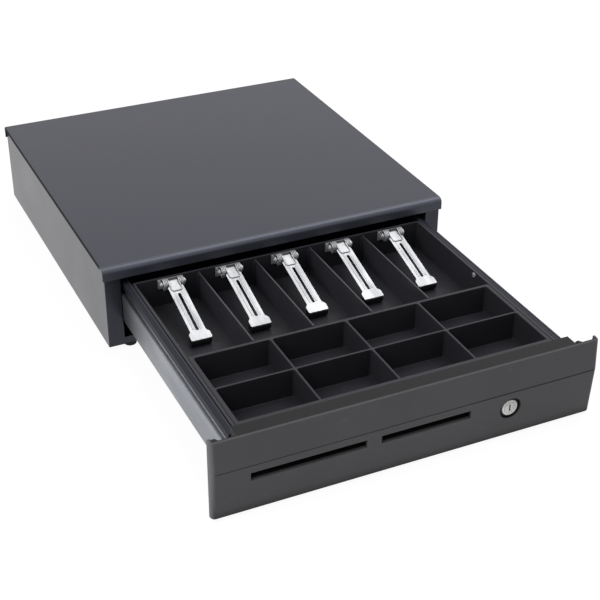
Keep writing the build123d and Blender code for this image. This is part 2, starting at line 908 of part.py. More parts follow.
def make_lock_cam():
    """The flat cam, pointing sideways when the lock is open."""
    y = (cam_front, cam_front + cam_thickness)
    arm = block((lock_x, lock_x + cam_length), y, (lock_z - cam_width / 2, lock_z + cam_width / 2))
    tip_edges = arm.edges().filter_by(Axis.Y).group_by(Axis.X)[-1]
    arm = fillet(tip_edges, cam_width / 4)
    hub = rod_y(cam_width / 2, lock_x, lock_z, y)
    return arm + hub - rod_y(screw_radius + screw_play, lock_x, lock_z, y)


def make_lock_cam_screw():
    """The screw that holds the cam on the plug."""
    return Pos(lock_x, cam_front + cam_thickness, lock_z) * Rot(X=-90) * screw(screw_length)


def divider_places():
    first = -(note_bays - 2) / 2 * note_pitch
    return [first + index * note_pitch for index in range(note_bays - 1)]


def make_till_tray():
    """The till: an open tray with a cross wall and guides for the note dividers."""
    tray = block(both(till_half), (till_front, till_back), (till_bottom, till_top))
    tray = fillet(tray.edges().filter_by(Axis.Z), till_wall)
    inner_half = till_half - till_wall
    inside = block(both(inner_half), (till_front + till_wall, bay_back), (bay_floor, till_top))
    tray -= fillet(inside.edges().filter_by(Axis.Z), till_wall / 2)
    tray = fillet(tray.edges().group_by(Axis.Z)[-1], till_rim_radius)
    tray += block(both(inner_half), (cross_front, cross_back), (bay_floor, till_top - cross_wall_drop))
    rib_top = till_top - cross_wall_drop - till_rim_radius
    for x in divider_places():
        reach = note_divider / 2 + guide_rib_play
        for low in (x - reach - guide_rib, x + reach):
            for y in ((cross_back, cross_back + guide_rib_depth), (bay_back - guide_rib_depth, bay_back)):
                tray += block((low, low + guide_rib), y, (bay_floor, rib_top))
    return tray


def make_note_dividers():
    """The plates between the note bays, held in the till's guides."""
    dividers = []
    for x in divider_places():
        plate = block(
            (x - note_divider / 2, x + note_divider / 2),
            (cross_back + note_divider_gap, bay_back - note_divider_gap),
            (bay_floor, till_top - note_divider_drop),
        )
        dividers.append(fillet(plate.edges().filter_by(Axis.Y).group_by(Axis.Z)[-1], note_divider / 3))
    return Compound(dividers)


def make_coin_tray():
    """The lift-out coin tray: one moulding with two rows of scooped cups."""
    half = till_half - till_wall - coin_tray_gap
    tray = block(both(half), (coin_front, coin_back), (bay_floor, till_top))
    cup_half = half - coin_tray_side_wall
    cups_front = coin_front + coin_tray_front_wall
    cups_back = coin_back - coin_tray_back_wall
    width = (2 * cup_half - (coin_columns - 1) * coin_divider) / coin_columns
    depth = (cups_back - cups_front - (coin_rows - 1) * coin_divider) / coin_rows
    cup_floor = bay_floor + till_floor
    for row in range(coin_rows):
        y = cups_front + row * (depth + coin_divider)
        profile = flat((y, y + depth), (cup_floor, till_top + coin_divider))
        profile = fillet(profile.vertices().group_by(Axis.Y)[0], coin_scoop_radius)
        for column in range(coin_columns):
            x = -cup_half + column * (width + coin_divider)
            tray -= along_x(profile, (x, x + width))
    return fillet(tray.edges().group_by(Axis.Z)[-1], till_rim_radius)


def make_till_rivets():
    """A dome-headed rivet on the inside of each side wall of the till."""
    wall = till_half - till_wall
    x = (wall - rivet_head_height, wall)
    head = rod_x(rivet_radius, cross_back + rivet_setback, till_top - rivet_drop, x)
    head = fillet(head.edges().group_by(Axis.X)[0], rivet_head_height / 2)
    return Compound([head, other_side(head)])


# Lock places that the panel, the drawer and the base all follow
lock_recess_y = panel_front + panel_bottom_setback / 2 + lock_recess_depth
cam_front = lock_recess_y + lock_body_length + cam_gap

# The middle of the balls' row halfway along what the two members share with the drawer open
cage_middle = (channel_front + drawer_back - rail_back_inset) / 2

# Clip shapes in a clip's own frame: the pin lies on X and the arm points to -Y
knuckle_radius = clip_pin_radius + clip_pin_play + clip_knuckle_wall
arm_bottom = knuckle_radius - clip_sheet
pad_bottom = arm_bottom - clip_pad_height
pad_front = -clip_arm_length - clip_sheet / 2
pad_drop = clip_pin_z - bay_floor - clip_rest_gap
clip_rest_tilt = degrees(asin(pad_drop / hypot(pad_front, pad_bottom)) - atan2(-pad_bottom, -pad_front))
coil_outer_radius = spring_coil_radius + spring_wire_radius
spring_leg_sweep = clip_pin_setback - clip_sheet - spring_leg_gap
spring_leg_length = sqrt(spring_leg_sweep**2 - coil_outer_radius**2)
coil_pitch = 2 * spring_wire_radius + spring_turn_gap
coil_start_angle = radians(spring_leg_angle - clip_rest_tilt)
coil_end_angle = 2 * pi * spring_whole_turns + radians(spring_lead_angle)
coil_width = coil_pitch * (coil_end_angle - coil_start_angle) / (2 * pi)
coil_inner_x = clip_neck_width / 2 + spring_side_gap + spring_wire_radius
coil_outer_x = coil_inner_x + coil_width
ear_inner = coil_outer_x + spring_wire_radius + spring_side_gap
clip_places = [(index - (note_bays - 1) / 2) * note_pitch for index in range(note_bays)]


def on_clip(shape, x):
    """A shape from the clip's own frame, laid down in its bay."""
    return Pos(x, clip_pin_y, clip_pin_z) * Rot(X=clip_rest_tilt) * shape


def clip_arm():
    """The stamped arm: a curled root between the coils, a long slot and a broad end."""
    neck_half = clip_neck_width / 2
    half = clip_arm_width / 2
    end_half = clip_end_width / 2
    end = -clip_arm_length
    flare = end + clip_end_length
    right = [
        (neck_half, 0),
        (neck_half, -clip_neck_length),
        (half, -clip_neck_length),
        (half, flare + clip_flare_length),
        (end_half, flare),
        (end_half, end),
    ]
    outline = Polyline(*right, *[(-x, y) for x, y in reversed(right)], close=True)
    face = make_face(outline)
    face = fillet(face.vertices().group_by(Axis.Y)[0], clip_corner_radius)
    slot_end = flare + clip_flare_length + clip_slot_end_gap
    slot_middle = (slot_end - clip_slot_start) / 2
    slot_length = -slot_end - clip_slot_start
    face -= Pos(0, slot_middle) * Rot(Z=90) * SlotOverall(slot_length, clip_slot_width)
    arm = along_z(face, (arm_bottom, knuckle_radius))
    knuckle = rod_x(knuckle_radius, 0, 0, both(neck_half))
    bore = rod_x(clip_pin_radius + clip_pin_play, 0, 0, both(clip_arm_width))
    return arm + knuckle - bore


def clip_pad():
    """The soft bar under the arm's end."""
    pad = block(both(clip_pad_width / 2), (pad_front, pad_front + clip_pad_depth), (pad_bottom, arm_bottom))
    return fillet(pad.edges().filter_by(Axis.X).group_by(Axis.Z)[0], clip_pad_radius)


def clip_spring_wire():
    """The path of the spring: leg, coil, a bridge over the arm, coil and leg."""

    def point(angle):
        share = (angle - coil_start_angle) / (coil_end_angle - coil_start_angle)
        x = -coil_outer_x + share * coil_width
        return Vector(x, spring_coil_radius * cos(angle), spring_coil_radius * sin(angle))

    def way(angle):
        advance = coil_pitch / (2 * pi)
        return Vector(advance, -spring_coil_radius * sin(angle), spring_coil_radius * cos(angle)).normalized()

    coil_start = point(coil_start_angle)
    leg_end = coil_start - way(coil_start_angle) * spring_leg_length
    coil_end = point(coil_end_angle)
    ahead = Vector(0, -1, 0)
    lead_z = knuckle_radius + spring_lead_gap + spring_wire_radius
    landing = Vector(coil_end.X, -spring_landing_reach, lead_z)
    arcs = coil(point, way, coil_start_angle, coil_end_angle, 1 / 2)
    side = Vector(1, 0, 0)
    lead_in = biarc(coil_end, way(coil_end_angle), landing, ahead)
    corner = Vector(coil_end.X, -spring_bridge_reach, lead_z)
    bend_start = corner - ahead * spring_bend_radius
    bend_end = corner + side * spring_bend_radius
    bend = TangentArc(bend_start, bend_end, tangent=ahead)
    half = [Line(leg_end, coil_start), *arcs, *lead_in, Line(landing, bend_start), bend]
    left = Curve() + half
    bridge = Line(bend_end, Vector(-bend_end.X, bend_end.Y, bend_end.Z))
    return Wire([*left.edges(), bridge.edge(), *mirror(left, about=Plane.YZ).edges()])


def make_clip_brackets():
    """The steel brackets on the till's back wall that hold the clips' pins."""
    brackets = []
    top = till_top - clip_pin_drop + clip_ear_radius
    for x in clip_places:
        outer = ear_inner + clip_sheet
        plate_y = (bay_back - clip_sheet, bay_back)
        plate = block((x - outer, x + outer), plate_y, (top - clip_bracket_height, till_top - till_rim_radius))
        bracket = plate
        for low in (x - outer, x + ear_inner):
            span = (low, low + clip_sheet)
            ear = block(span, (clip_pin_y, bay_back), (clip_pin_z - clip_ear_radius, till_top - till_rim_radius))
            ear += rod_x(clip_ear_radius, clip_pin_y, clip_pin_z, span)
            bracket += ear - rod_x(clip_pin_radius + clip_pin_play, clip_pin_y, clip_pin_z, span)
        brackets.append(bracket)
    return Compound(brackets)


def make_clip_pins():
    """The hinge pins of the clips."""
    reach = ear_inner + clip_sheet + clip_pin_end
    pins = [rod_x(clip_pin_radius, clip_pin_y, clip_pin_z, (x - reach, x + reach)) for x in clip_places]
    return Compound(pins)


# Places at the back of the cabinet
cabinet_floor = foot_height + sheet
closed_back = drawer_back + drawer_travel
strike_y = closed_back + strike_reach
latch_pin_x = latch_pin_offset
nose_back = strike_y - strike_pin_radius - latch_nose_gap
latch_pin_y = nose_back - latch_nose_depth / 2 + latch_reach
latch_z = (cabinet_floor + latch_floor_height, cabinet_floor + latch_floor_height + latch_thickness)
tail_y = latch_pin_y + latch_tail_reach
solenoid_end = latch_pin_x - solenoid_gap
solenoid_start = solenoid_end - solenoid_length
plunger_z = latch_z[1] + plunger_link_thickness / 2 + coil_gap
solenoid_z = (plunger_z - solenoid_height / 2, plunger_z + solenoid_height / 2)


def make_strike_plate():
    """The bracket on the drawer's back wall with the pin that the latch hooks."""
    pin_y = drawer_back + strike_reach
    z = (latch_z[0] - strike_height / 2, latch_z[1] + strike_height / 2)
    arm_end = pin_y + strike_pin_radius + strike_sheet
    plate = block(both(strike_width / 2), (drawer_back, drawer_back + strike_sheet), (z[0], z[1] + strike_width / 2))
    shelf = block(both(strike_width / 4), (drawer_back, arm_end), (z[1] - strike_sheet, z[1]))
    pin = rod_z(strike_pin_radius, 0, pin_y, (z[0], z[1]))
    return plate + shelf + pin


def make_latch_bracket():
    """The plate on the cabinet floor that carries the latch's pin and the solenoid."""
    x = (solenoid_start - latch_bracket_sheet, latch_pin_x + latch_bracket_width / 2)
    y = (tail_y - solenoid_depth, back_wall - sheet - bend_radius)
    z = cabinet_floor
    base = block(x, y, (z, z + latch_bracket_sheet))
    stand_top = latch_z[0] - coil_gap
    stand = rod_z(latch_hub_radius, latch_pin_x, latch_pin_y, (z, stand_top))
    saddle = block(
        (solenoid_start, solenoid_end),
        (tail_y - solenoid_depth / 2, tail_y + solenoid_depth / 2),
        (z, solenoid_z[0]),
    )
    pin_hole = rod_z(latch_pin_radius, latch_pin_x, latch_pin_y, (z, stand_top))
    return base + stand + saddle - pin_hole


def make_latch_pin():
    """The latch's upright pin with a broad head."""
    head = latch_pin_radius * 3 / 2
    top = latch_z[1] + coil_gap
    pin = rod_z(latch_pin_radius, latch_pin_x, latch_pin_y, (cabinet_floor, top))
    return pin + rod_z(head, latch_pin_x, latch_pin_y, (top, top + latch_bracket_sheet))


def make_latch_lever():
    """The flat latch: a hooked arm in front of its pin and a slotted tail behind it."""
    x, y = latch_pin_x, latch_pin_y
    hub = Pos(x, y) * Circle(latch_hub_radius)
    nose_front = nose_back - latch_nose_depth
    arm = flat((x - latch_arm_width / 2, x + latch_arm_width / 2), (nose_front, y))
    nose = flat((-latch_nose_overlap, x + latch_arm_width / 2), (nose_front, nose_back))
    tail_half = plunger_pin_radius + latch_slot_play + clip_sheet
    tail = flat((x - tail_half, x + tail_half), (y, tail_y + latch_slot_length / 2 + clip_sheet))
    hole = Pos(x, y) * Circle(latch_pin_radius + latch_pin_play)
    slot = Pos(x, tail_y) * Rot(Z=90) * SlotOverall(latch_slot_length, 2 * (plunger_pin_radius + latch_slot_play))
    return along_z(hub + arm + nose + tail - hole - slot, latch_z)


def make_solenoid_frame():
    """The open steel frame round the coil."""
    y = (tail_y - solenoid_depth / 2, tail_y + solenoid_depth / 2)
    outer = block((solenoid_start, solenoid_end), y, solenoid_z)
    wall = solenoid_frame_sheet
    inner = block((solenoid_start + wall, solenoid_end - wall), y, (solenoid_z[0] + wall, solenoid_z[1] - wall))
    bore = rod_x(plunger_radius + plunger_play, tail_y, plunger_z, (solenoid_end - wall, solenoid_end))
    return outer - inner - bore


def make_solenoid_coil():
    """The taped winding inside the frame, with the plunger's bore."""
    wall = solenoid_frame_sheet + coil_gap / 3
    x = (solenoid_start + wall, solenoid_end - wall)
    winding = rod_x(coil_radius, tail_y, plunger_z, x)
    bore = (solenoid_end - solenoid_frame_sheet - plunger_insertion - latch_tail_reach / 2, solenoid_end)
    return winding - rod_x(plunger_radius + plunger_play, tail_y, plunger_z, bore)


def make_solenoid_plunger():
    """The plunger with its collar, its flat link and the pin in the latch's tail."""
    collar = latch_pin_x - latch_hub_radius - plunger_collar_thickness
    start = solenoid_end - plunger_insertion
    plunger = rod_x(plunger_radius, tail_y, plunger_z, (start, collar))
    plunger += rod_x(plunger_collar_radius, tail_y, plunger_z, (collar - plunger_collar_thickness, collar))
    link_z = (plunger_z - plunger_link_thickness / 2, plunger_z + plunger_link_thickness / 2)
    link_end = latch_pin_x + plunger_pin_radius * 2
    half = plunger_link_width / 2
    plunger += block((collar - plunger_collar_thickness, link_end), (tail_y - half, tail_y + half), link_z)
    return plunger + rod_z(plunger_pin_radius, latch_pin_x, tail_y, (latch_z[0], link_z[1]))


def spring_along(axis_start, along, across, up, radius, wire_radius, turns, length):
    """A plain coil spring from a start point, with its turns evenly spread."""

    def point(angle):
        share = angle / (2 * pi * turns)
        return axis_start + along * (length * share) + (across * cos(angle) + up * sin(angle)) * radius

    def way(angle):
        rise = along * (length / (2 * pi * turns))
        return (rise + (up * cos(angle) - across * sin(angle)) * radius).normalized()

    return Wire(coil(point, way, 0, 2 * pi * turns, 1 / 2))


def make_plunger_spring():
    """The light spring that pushes the plunger out again."""
    radius = plunger_radius + plunger_spring_wire + coil_gap
    start = solenoid_end + plunger_spring_wire + coil_gap / 3
    collar = latch_pin_x - latch_hub_radius - 2 * plunger_collar_thickness
    length = collar - plunger_spring_wire - coil_gap / 3 - start
    wire = spring_along(
        Vector(start, tail_y, plunger_z),
        Vector(1, 0, 0),
        Vector(0, 1, 0),
        Vector(0, 0, 1),
        radius,
        plunger_spring_wire,
        plunger_spring_turns,
        length,
    )
    print("plunger spring least gap", round(least_gap(wire, plunger_spring_wire, 2 * pi * radius), 2))
    return tube(wire, plunger_spring_wire)


# The push rod stands out by its travel while the drawer is open
push_z = cabinet_floor + push_height
push_head_front = closed_back + push_gap - push_travel
push_head_back = push_head_front + push_head_thickness
push_plate = closed_back + push_bracket_setback
push_plate_span = (push_plate, push_plate + push_bracket_sheet)


def make_push_bracket():
    """The angle bracket that guides the push rod."""
    x = (push_x - push_bracket_width / 2, push_x + push_bracket_width / 2)
    upright = block(x, push_plate_span, (cabinet_floor, push_z + push_bracket_rise))
    foot = block(x, (push_plate, back_wall - sheet - bend_radius), (cabinet_floor, cabinet_floor + push_bracket_sheet))
    return upright + foot - rod_y(push_rod_radius + push_rod_play, push_x, push_z, push_plate_span)


def make_push_rod():
    """The push rod with its round head and the ring that stops it in its bracket."""
    rod = rod_y(push_rod_radius, push_x, push_z, (push_head_front, push_head_front + push_rod_length))
    head = rod_y(push_head_radius, push_x, push_z, (push_head_front, push_head_back))
    head = fillet(head.edges().group_by(Axis.Y)[0], push_head_thickness / 3)
    ring_start = push_plate_span[1] + push_gap
    ring = rod_y(push_clip_radius, push_x, push_z, (ring_start, ring_start + push_clip_thickness))
    return rod + head + ring


def make_push_spring():
    """The spring round the push rod, between its head and the bracket."""
    radius = push_rod_radius + push_spring_wire + push_spring_gap
    start = push_head_back + push_spring_wire + push_rod_play
    length = push_plate - push_spring_wire - push_rod_play - start
    wire = spring_along(
        Vector(push_x, start, push_z),
        Vector(0, 1, 0),
        Vector(0, 0, 1),
        Vector(1, 0, 0),
        radius,
        push_spring_wire,
        push_spring_turns,
        length,
    )
    print("push spring least gap", round(least_gap(wire, push_spring_wire, 2 * pi * radius), 2))
    return tube(wire, push_spring_wire)


def make_port_jack():
    """The socket in the back panel."""
    bottom = foot_height + jack_rise
    x = (jack_x - jack_width / 2, jack_x + jack_width / 2)
    body = block(x, (shell_back - jack_depth, shell_back), (bottom, bottom + jack_height))
    middle = bottom + jack_height / 2
    hole = block(
        (jack_x - jack_face_width / 2, jack_x + jack_face_width / 2),
        (shell_back - jack_bore_depth, shell_back),
        (middle - jack_face_height / 2, middle + jack_face_height / 2),
    )
    return body - hole


def make_solenoid_lead():
    """The two-core lead from the coil to the socket."""
    z = foot_height + jack_rise + jack_height / 2
    jack_face = shell_back - jack_depth
    turn_y = jack_face - lead_bend_radius - 2 * lead_radius
    coil_side = solenoid_start
    straight = lead_straight_share * (coil_side - jack_x)
    points = [(coil_side, tail_y, z), (coil_side - straight, tail_y, z)]
    points += [(jack_x + straight, turn_y, z), (jack_x, turn_y, z), (jack_x, jack_face, z)]
    wire = FilletPolyline(*points, radius=[lead_bend_radius, lead_bend_radius, lead_bend_radius / 2])
    return tube(wire, lead_radius)


pieces = {
    "top_cover": make_top_cover(),
    "right_side_panel": make_side_panel(),
    "left_side_panel": other_side(make_side_panel()),
    "base_pan": make_base_pan(),
    "rear_panel": make_rear_panel(),
    "front_top_rail": make_front_top_rail(),
    "cabinet_screws": make_cabinet_screws(),
    "rubber_feet": make_rubber_feet(),
    "right_slide_channel": make_slide_channel(),
    "left_slide_channel": other_side(make_slide_channel()),
    "slide_brackets": make_slide_brackets(),
    "right_slide_rail": make_slide_rail(),
    "left_slide_rail": other_side(make_slide_rail()),
    "ball_cages": make_ball_cages(),
    "slide_balls": make_slide_balls(),
    "drawer_box": make_drawer_box(),
    "front_panel": make_front_panel(),
    "panel_bumpers": make_panel_bumpers(),
    "drawer_screws": make_drawer_screws(),
    "till_supports": make_till_supports(),
    "lock_housing": make_lock_housing(),
    "lock_nut": make_lock_nut(),
    "lock_plug": make_lock_plug(),
    "lock_cam": make_lock_cam(),
    "lock_cam_screw": make_lock_cam_screw(),
    "till_tray": make_till_tray(),
    "coin_tray": make_coin_tray(),
    "note_dividers": make_note_dividers(),
    "till_rivets": make_till_rivets(),
    "clip_brackets": make_clip_brackets(),
    "clip_pins": make_clip_pins(),
    "strike_plate": make_strike_plate(),
    "latch_bracket": make_latch_bracket(),
    "latch_pin": make_latch_pin(),
    "latch_lever": make_latch_lever(),
    "solenoid_frame": make_solenoid_frame(),
    "solenoid_coil": make_solenoid_coil(),
    "solenoid_plunger": make_solenoid_plunger(),
    "plunger_spring": make_plunger_spring(),
    "push_bracket": make_push_bracket(),
    "push_rod": make_push_rod(),
    "push_spring": make_push_spring(),
    "port_jack": make_port_jack(),
    "solenoid_lead": make_solenoid_lead(),
}
spring_path = clip_spring_wire()
spring_turn = 2 * pi * spring_coil_radius
print("clip spring least gap", round(least_gap(spring_path, spring_wire_radius, spring_turn), 2))
for number, x in enumerate(clip_places, start=1):
    pieces[f"clip_arm_{number}"] = on_clip(clip_arm(), x)
    pieces[f"clip_pad_{number}"] = on_clip(clip_pad(), x)
    pieces[f"clip_spring_{number}"] = on_clip(tube(spring_path, spring_wire_radius), x)

os.makedirs("parts", exist_ok=True)
for name, shape in pieces.items():
    export_step(shape, f"parts/{name}.step")
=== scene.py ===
import json
from math import asin, atan2, cos, hypot, pi, radians, sin, sqrt

import bmesh
import bpy
from mathutils import Matrix, Vector


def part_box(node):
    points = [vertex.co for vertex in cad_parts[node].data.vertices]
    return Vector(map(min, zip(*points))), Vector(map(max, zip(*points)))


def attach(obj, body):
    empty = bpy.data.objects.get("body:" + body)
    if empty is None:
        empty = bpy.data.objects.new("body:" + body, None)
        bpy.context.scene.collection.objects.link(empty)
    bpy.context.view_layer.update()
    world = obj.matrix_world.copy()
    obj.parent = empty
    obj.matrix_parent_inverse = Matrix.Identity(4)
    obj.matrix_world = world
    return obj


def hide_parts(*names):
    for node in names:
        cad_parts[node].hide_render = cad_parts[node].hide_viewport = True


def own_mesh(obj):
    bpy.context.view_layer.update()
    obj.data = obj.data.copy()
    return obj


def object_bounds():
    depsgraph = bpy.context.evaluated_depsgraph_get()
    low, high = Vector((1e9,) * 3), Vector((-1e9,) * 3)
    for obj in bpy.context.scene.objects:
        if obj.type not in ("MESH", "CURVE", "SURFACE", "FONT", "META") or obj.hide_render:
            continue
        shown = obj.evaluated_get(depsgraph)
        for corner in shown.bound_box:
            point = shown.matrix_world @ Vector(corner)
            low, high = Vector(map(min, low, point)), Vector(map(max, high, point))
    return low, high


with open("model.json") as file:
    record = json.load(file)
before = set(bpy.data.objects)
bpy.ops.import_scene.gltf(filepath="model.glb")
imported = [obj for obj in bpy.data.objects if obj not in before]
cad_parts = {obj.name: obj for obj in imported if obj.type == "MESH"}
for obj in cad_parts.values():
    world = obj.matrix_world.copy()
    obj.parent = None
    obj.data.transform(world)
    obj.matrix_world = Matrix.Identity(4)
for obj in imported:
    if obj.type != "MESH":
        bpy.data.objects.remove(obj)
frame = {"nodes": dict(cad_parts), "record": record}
cad_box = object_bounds()
mm = 0.001

# The table: a wide white sweep under soft light. It shows white to the eye and in polished metal,
# and keeps a faint shadow of whatever stands on it.
scene = bpy.context.scene
scene.view_settings.view_transform = "Standard"


class Value:
    """An output of a finish's node. Sums, differences and products with it add their Math nodes."""

    def __init__(self, finish, socket):
        self.finish = finish
        self.socket = socket

    def __add__(self, other):
        return self.finish.math("ADD", self, other)

    def __sub__(self, other):
        return self.finish.math("SUBTRACT", self, other)

    def __rsub__(self, other):
        return self.finish.math("SUBTRACT", other, self)

    def __mul__(self, other):
        return self.finish.math("MULTIPLY", self, other)

    __radd__ = __add__
    __rmul__ = __mul__


class Finish:
    """The surface of a piece, mixed from nodes."""

    first_colour, second_colour, mixed_colour = 6, 7, 2

    def __init__(self, owner):
        self.owner = owner
        owner.use_nodes = True
        self.tree = owner.node_tree
        self.tree.nodes.clear()

    def node(self, kind, settings, sockets, output=0):
        """Adds a node with its settings first and then the values or links of its sockets."""
        node = self.tree.nodes.new("ShaderNode" + kind)
        for name, value in settings.items():
            setattr(node, name, value)
        for name, value in sockets.items():
            if isinstance(value, Value):
                self.tree.links.new(value.socket, node.inputs[name])
            else:
                node.inputs[name].default_value = value
        return Value(self, node.outputs[output] if node.outputs else None)

    def math(self, operation, first, second=0.0):
        return self.node("Math", {"operation": operation}, {0: first, 1: second})

    def most(self, first, second):
        return self.math("MAXIMUM", first, second)

    def mixed(self, share, first, second):
        """One colour turning into another as the share goes from 0 to 1."""
        sockets = {0: share, self.first_colour: first, self.second_colour: second}
        return self.node("Mix", {"data_type": "RGBA"}, sockets, self.mixed_colour)

    def rise(self, value, low, high):
        """A smooth step from 0 to 1 while the value goes from low to high."""
        sockets = {"Value": value, "From Min": low, "From Max": high}
        return self.node("MapRange", {"interpolation_type": "SMOOTHSTEP"}, sockets)

    def place(self):
        return self.node("TexCoord", {}, {}, "Object")

    def along(self, axis):
        return self.node("SeparateXYZ", {}, {0: self.place()}, axis.upper())

    def over(self, axis, low, high):
        """A smooth step from 0 to 1 along an axis, from low to high."""
        return self.rise(self.along(axis), low, high)

    def off_middle(self):
        """How far a point lies to the left or the right of the middle."""
        return self.math("ABSOLUTE", self.along("x"))

    def seen(self):
        """1 for what is looked at, also in metal or through glass, and 0 for what gives light."""
        looked_at = self.node("LightPath", {}, {}, "Is Camera Ray")
        for kind in ("Is Glossy Ray", "Is Transmission Ray"):
            looked_at = self.most(looked_at, self.node("LightPath", {}, {}, kind))
        return looked_at

    def noise(self, per_metre, detail=2.0, stretch=(1, 1, 1)):
        """Soft random patches, so many to a metre, stretched along the axes."""
        vector = self.node("Mapping", {}, {"Vector": self.place(), "Scale": stretch})
        sockets = {"Vector": vector, "Scale": per_metre, "Detail": detail}
        return self.node("TexNoise", {}, sockets)

    def around(self, level, *swings):
        """A level that varies with some noises, each by its own width."""
        total = level - sum(width for _, width in swings) / 2
        for noise, width in swings:
            total = noise * width + total
        return total

    def bump(self, height, depth, strength=1.0):
        return self.node("Bump", {}, {"Height": height, "Distance": depth, "Strength": strength})

    def surface(self, sockets):
        """Closes the finish with its shader and gives the material back."""
        shader = self.node("BsdfPrincipled", {}, sockets)
        self.node("OutputMaterial", {}, {"Surface": shader})
        return self.owner


def tint(code):
    """A colour as the eye sees it, in six hex digits, turned into the shader's numbers."""
    parts = [int(code[start : start + 2], 16) / 255 for start in (0, 2, 4)]
    return (*[((part + 0.055) / 1.055) ** 2.4 for part in parts], 1)


table_width = 12
glow_strength = 1.04
glow_share = 0.9
bpy.ops.mesh.primitive_plane_add(size=table_width)
table = bpy.context.object
table.name = "table"
table_white = Finish(bpy.data.materials.new("table_white"))
paper = table_white.node("BsdfDiffuse", {}, {"Color": tint("f4f4f4")})
glow = table_white.node("Emission", {}, {"Color": tint("ffffff"), "Strength": glow_strength})
mixed_table = table_white.node("MixShader", {}, {0: table_white.seen() * glow_share, 1: paper, 2: glow})
table_white.node("OutputMaterial", {}, {"Surface": mixed_table})
table.data.materials.append(table_white.owner)

# The light: a dim white room, one large soft panel over the table and one to the left, so that the
# tops and the left side are light and the faces towards the camera stay dark.
room_level = 0.36
room = bpy.data.worlds.new("white_room")
scene.world = room
room_light = Finish(room)
room_strength = room_light.seen() * (1 - room_level) + room_level
walls = room_light.node("Background", {}, {"Color": tint("ffffff"), "Strength": room_strength})
room_light.node("OutputWorld", {}, {"Surface": walls})


def light_panel(name, place, aim, width, power):
    """A square soft light at a place, facing the point it aims at."""
    data = bpy.data.lights.new(name, "AREA")
    data.size = width
    data.energy = power
    lamp = bpy.data.objects.new(name, data)
    scene.collection.objects.link(lamp)
    lamp.location = place
    lamp.rotation_euler = (aim - place).to_track_quat("-Z", "Y").to_euler()


drawer_middle = (cad_box[0] + cad_box[1]) / 2
light_panel("panel_above", place=Vector((0.8, 0.15, 2.25)), aim=drawer_middle, width=1.9, power=34)
light_panel("panel_left", place=Vector((-1.7, -0.5, 1.7)), aim=drawer_middle, width=1.2, power=26)

# The camera: a short telephoto above the drawer's front left corner, looking down on it. Its place,
# its turns and its focal length come from the straight edges of the cabinet and the front.
camera_place = Vector((-0.53133, -1.24365, 0.80279))
camera_yaw = radians(24.96)
camera_pitch = radians(31.01)
camera_roll = radians(0.22)
image_pixels = 600
focal_pixels = 1341.54
sensor_width = 36
camera_reach = 50
camera_data = bpy.data.cameras.new("camera")
camera_data.sensor_width = sensor_width
camera_data.lens = sensor_width * focal_pixels / image_pixels
camera_data.clip_end = camera_reach
camera = bpy.data.objects.new("camera", camera_data)
scene.collection.objects.link(camera)
facing = Matrix.Rotation(-camera_yaw, 4, "Z") @ Matrix.Rotation(pi / 2 - camera_pitch, 4, "X")
camera.matrix_world = Matrix.Translation(camera_place) @ facing @ Matrix.Rotation(camera_roll, 4, "Z")
scene.camera = camera

# The cover: the lid of the cabinet, one steel sheet pressed over the sides and the back, with its
# front edge rolled down into a lip. Sprayed with fine-textured charcoal powder and baked.
sheet = 1 * mm
lip_return = 9 * mm
side_lip_height = 4 * mm
corner_length = 7 * mm
front_roll = 6 * mm
pressed_radius = 1.5 * mm
worn_edge = 0.3 * mm
tool_run = 5 * mm
merge_gap = 0.03 * mm
sliver = 0.01 * mm
sharp_angle = radians(40)
smooth_angle = radians(42)
powder_depth = 0.05 * mm
# The black of the painted shadow line under the cover's side edges.
gap_shadow_black = "0e0e10"
powder_sheen = "dadef3"


def work_on(*pieces):
    """Selects only these pieces and makes the first one active."""
    bpy.ops.object.select_all(action="DESELECT")
    for piece in pieces:
        piece.select_set(True)
    bpy.context.view_layer.objects.active = pieces[0]


def settled(name):
    """Names the shape just added and puts its place into its mesh."""
    piece = bpy.context.object
    work_on(piece)
    bpy.ops.object.transform_apply(location=True, rotation=True, scale=True)
    piece.name = name
    piece.data.name = name
    return piece


def block(low, high, name="block"):
    """A square block between two corners, the start of a pressed or moulded piece."""
    low, high = Vector(low), Vector(high)
    work_on(table)
    bpy.ops.mesh.primitive_cube_add(size=1, location=(low + high) / 2, scale=high - low)
    return settled(name)


def rod(radius, start, end, sides=48, name="rod"):
    """A round bar between two points."""
    start, end = Vector(start), Vector(end)
    turn = (end - start).to_track_quat("Z", "Y").to_euler()
    work_on(table)
    bpy.ops.mesh.primitive_cylinder_add(
        vertices=sides, radius=radius, depth=(end - start).length, location=(start + end) / 2, rotation=turn
    )
    return settled(name)


def choose(piece, kind, test):
    """Opens a piece for editing with the edges or faces selected that pass the test."""
    work_on(piece)
    bpy.ops.object.mode_set(mode="EDIT")
    bpy.ops.mesh.select_mode(type=kind)
    bpy.ops.mesh.select_all(action="DESELECT")
    form = bmesh.from_edit_mesh(piece.data)
    for part in form.faces if kind == "FACE" else form.edges:
        part.select_set(test(part))
    bmesh.update_edit_mesh(piece.data)


def choose_all(piece):
    choose(piece, "FACE", lambda face: True)


def close_editing():
    bpy.ops.object.mode_set(mode="OBJECT")


def middle(part):
    return sum((corner.co for corner in part.verts), Vector()) / len(part.verts)


def runs(edge, axis, least=0.99):
    start, end = (corner.co for corner in edge.verts)
    return abs(getattr((end - start).normalized(), axis)) > least


def near(first, second, reach=0.05 * mm):
    return abs(first - second) < reach


def lying(along=None, x=None, y=None, z=None):
    """Picks what has its middle at the places given, x on both sides, and runs along an axis."""

    def test(part):
        place = middle(part)
        wanted = ((abs(place.x), x), (place.y, y), (place.z, z))
        here = all(near(now, then) for now, then in wanted if then is not None)
        return here and (along is None or runs(part, along))

    return test


def across(side, inner, outer):
    """The lower and the higher x of a stretch on one side, -1 for the left and 1 for the right."""
    return sorted((side * inner, side * outer))


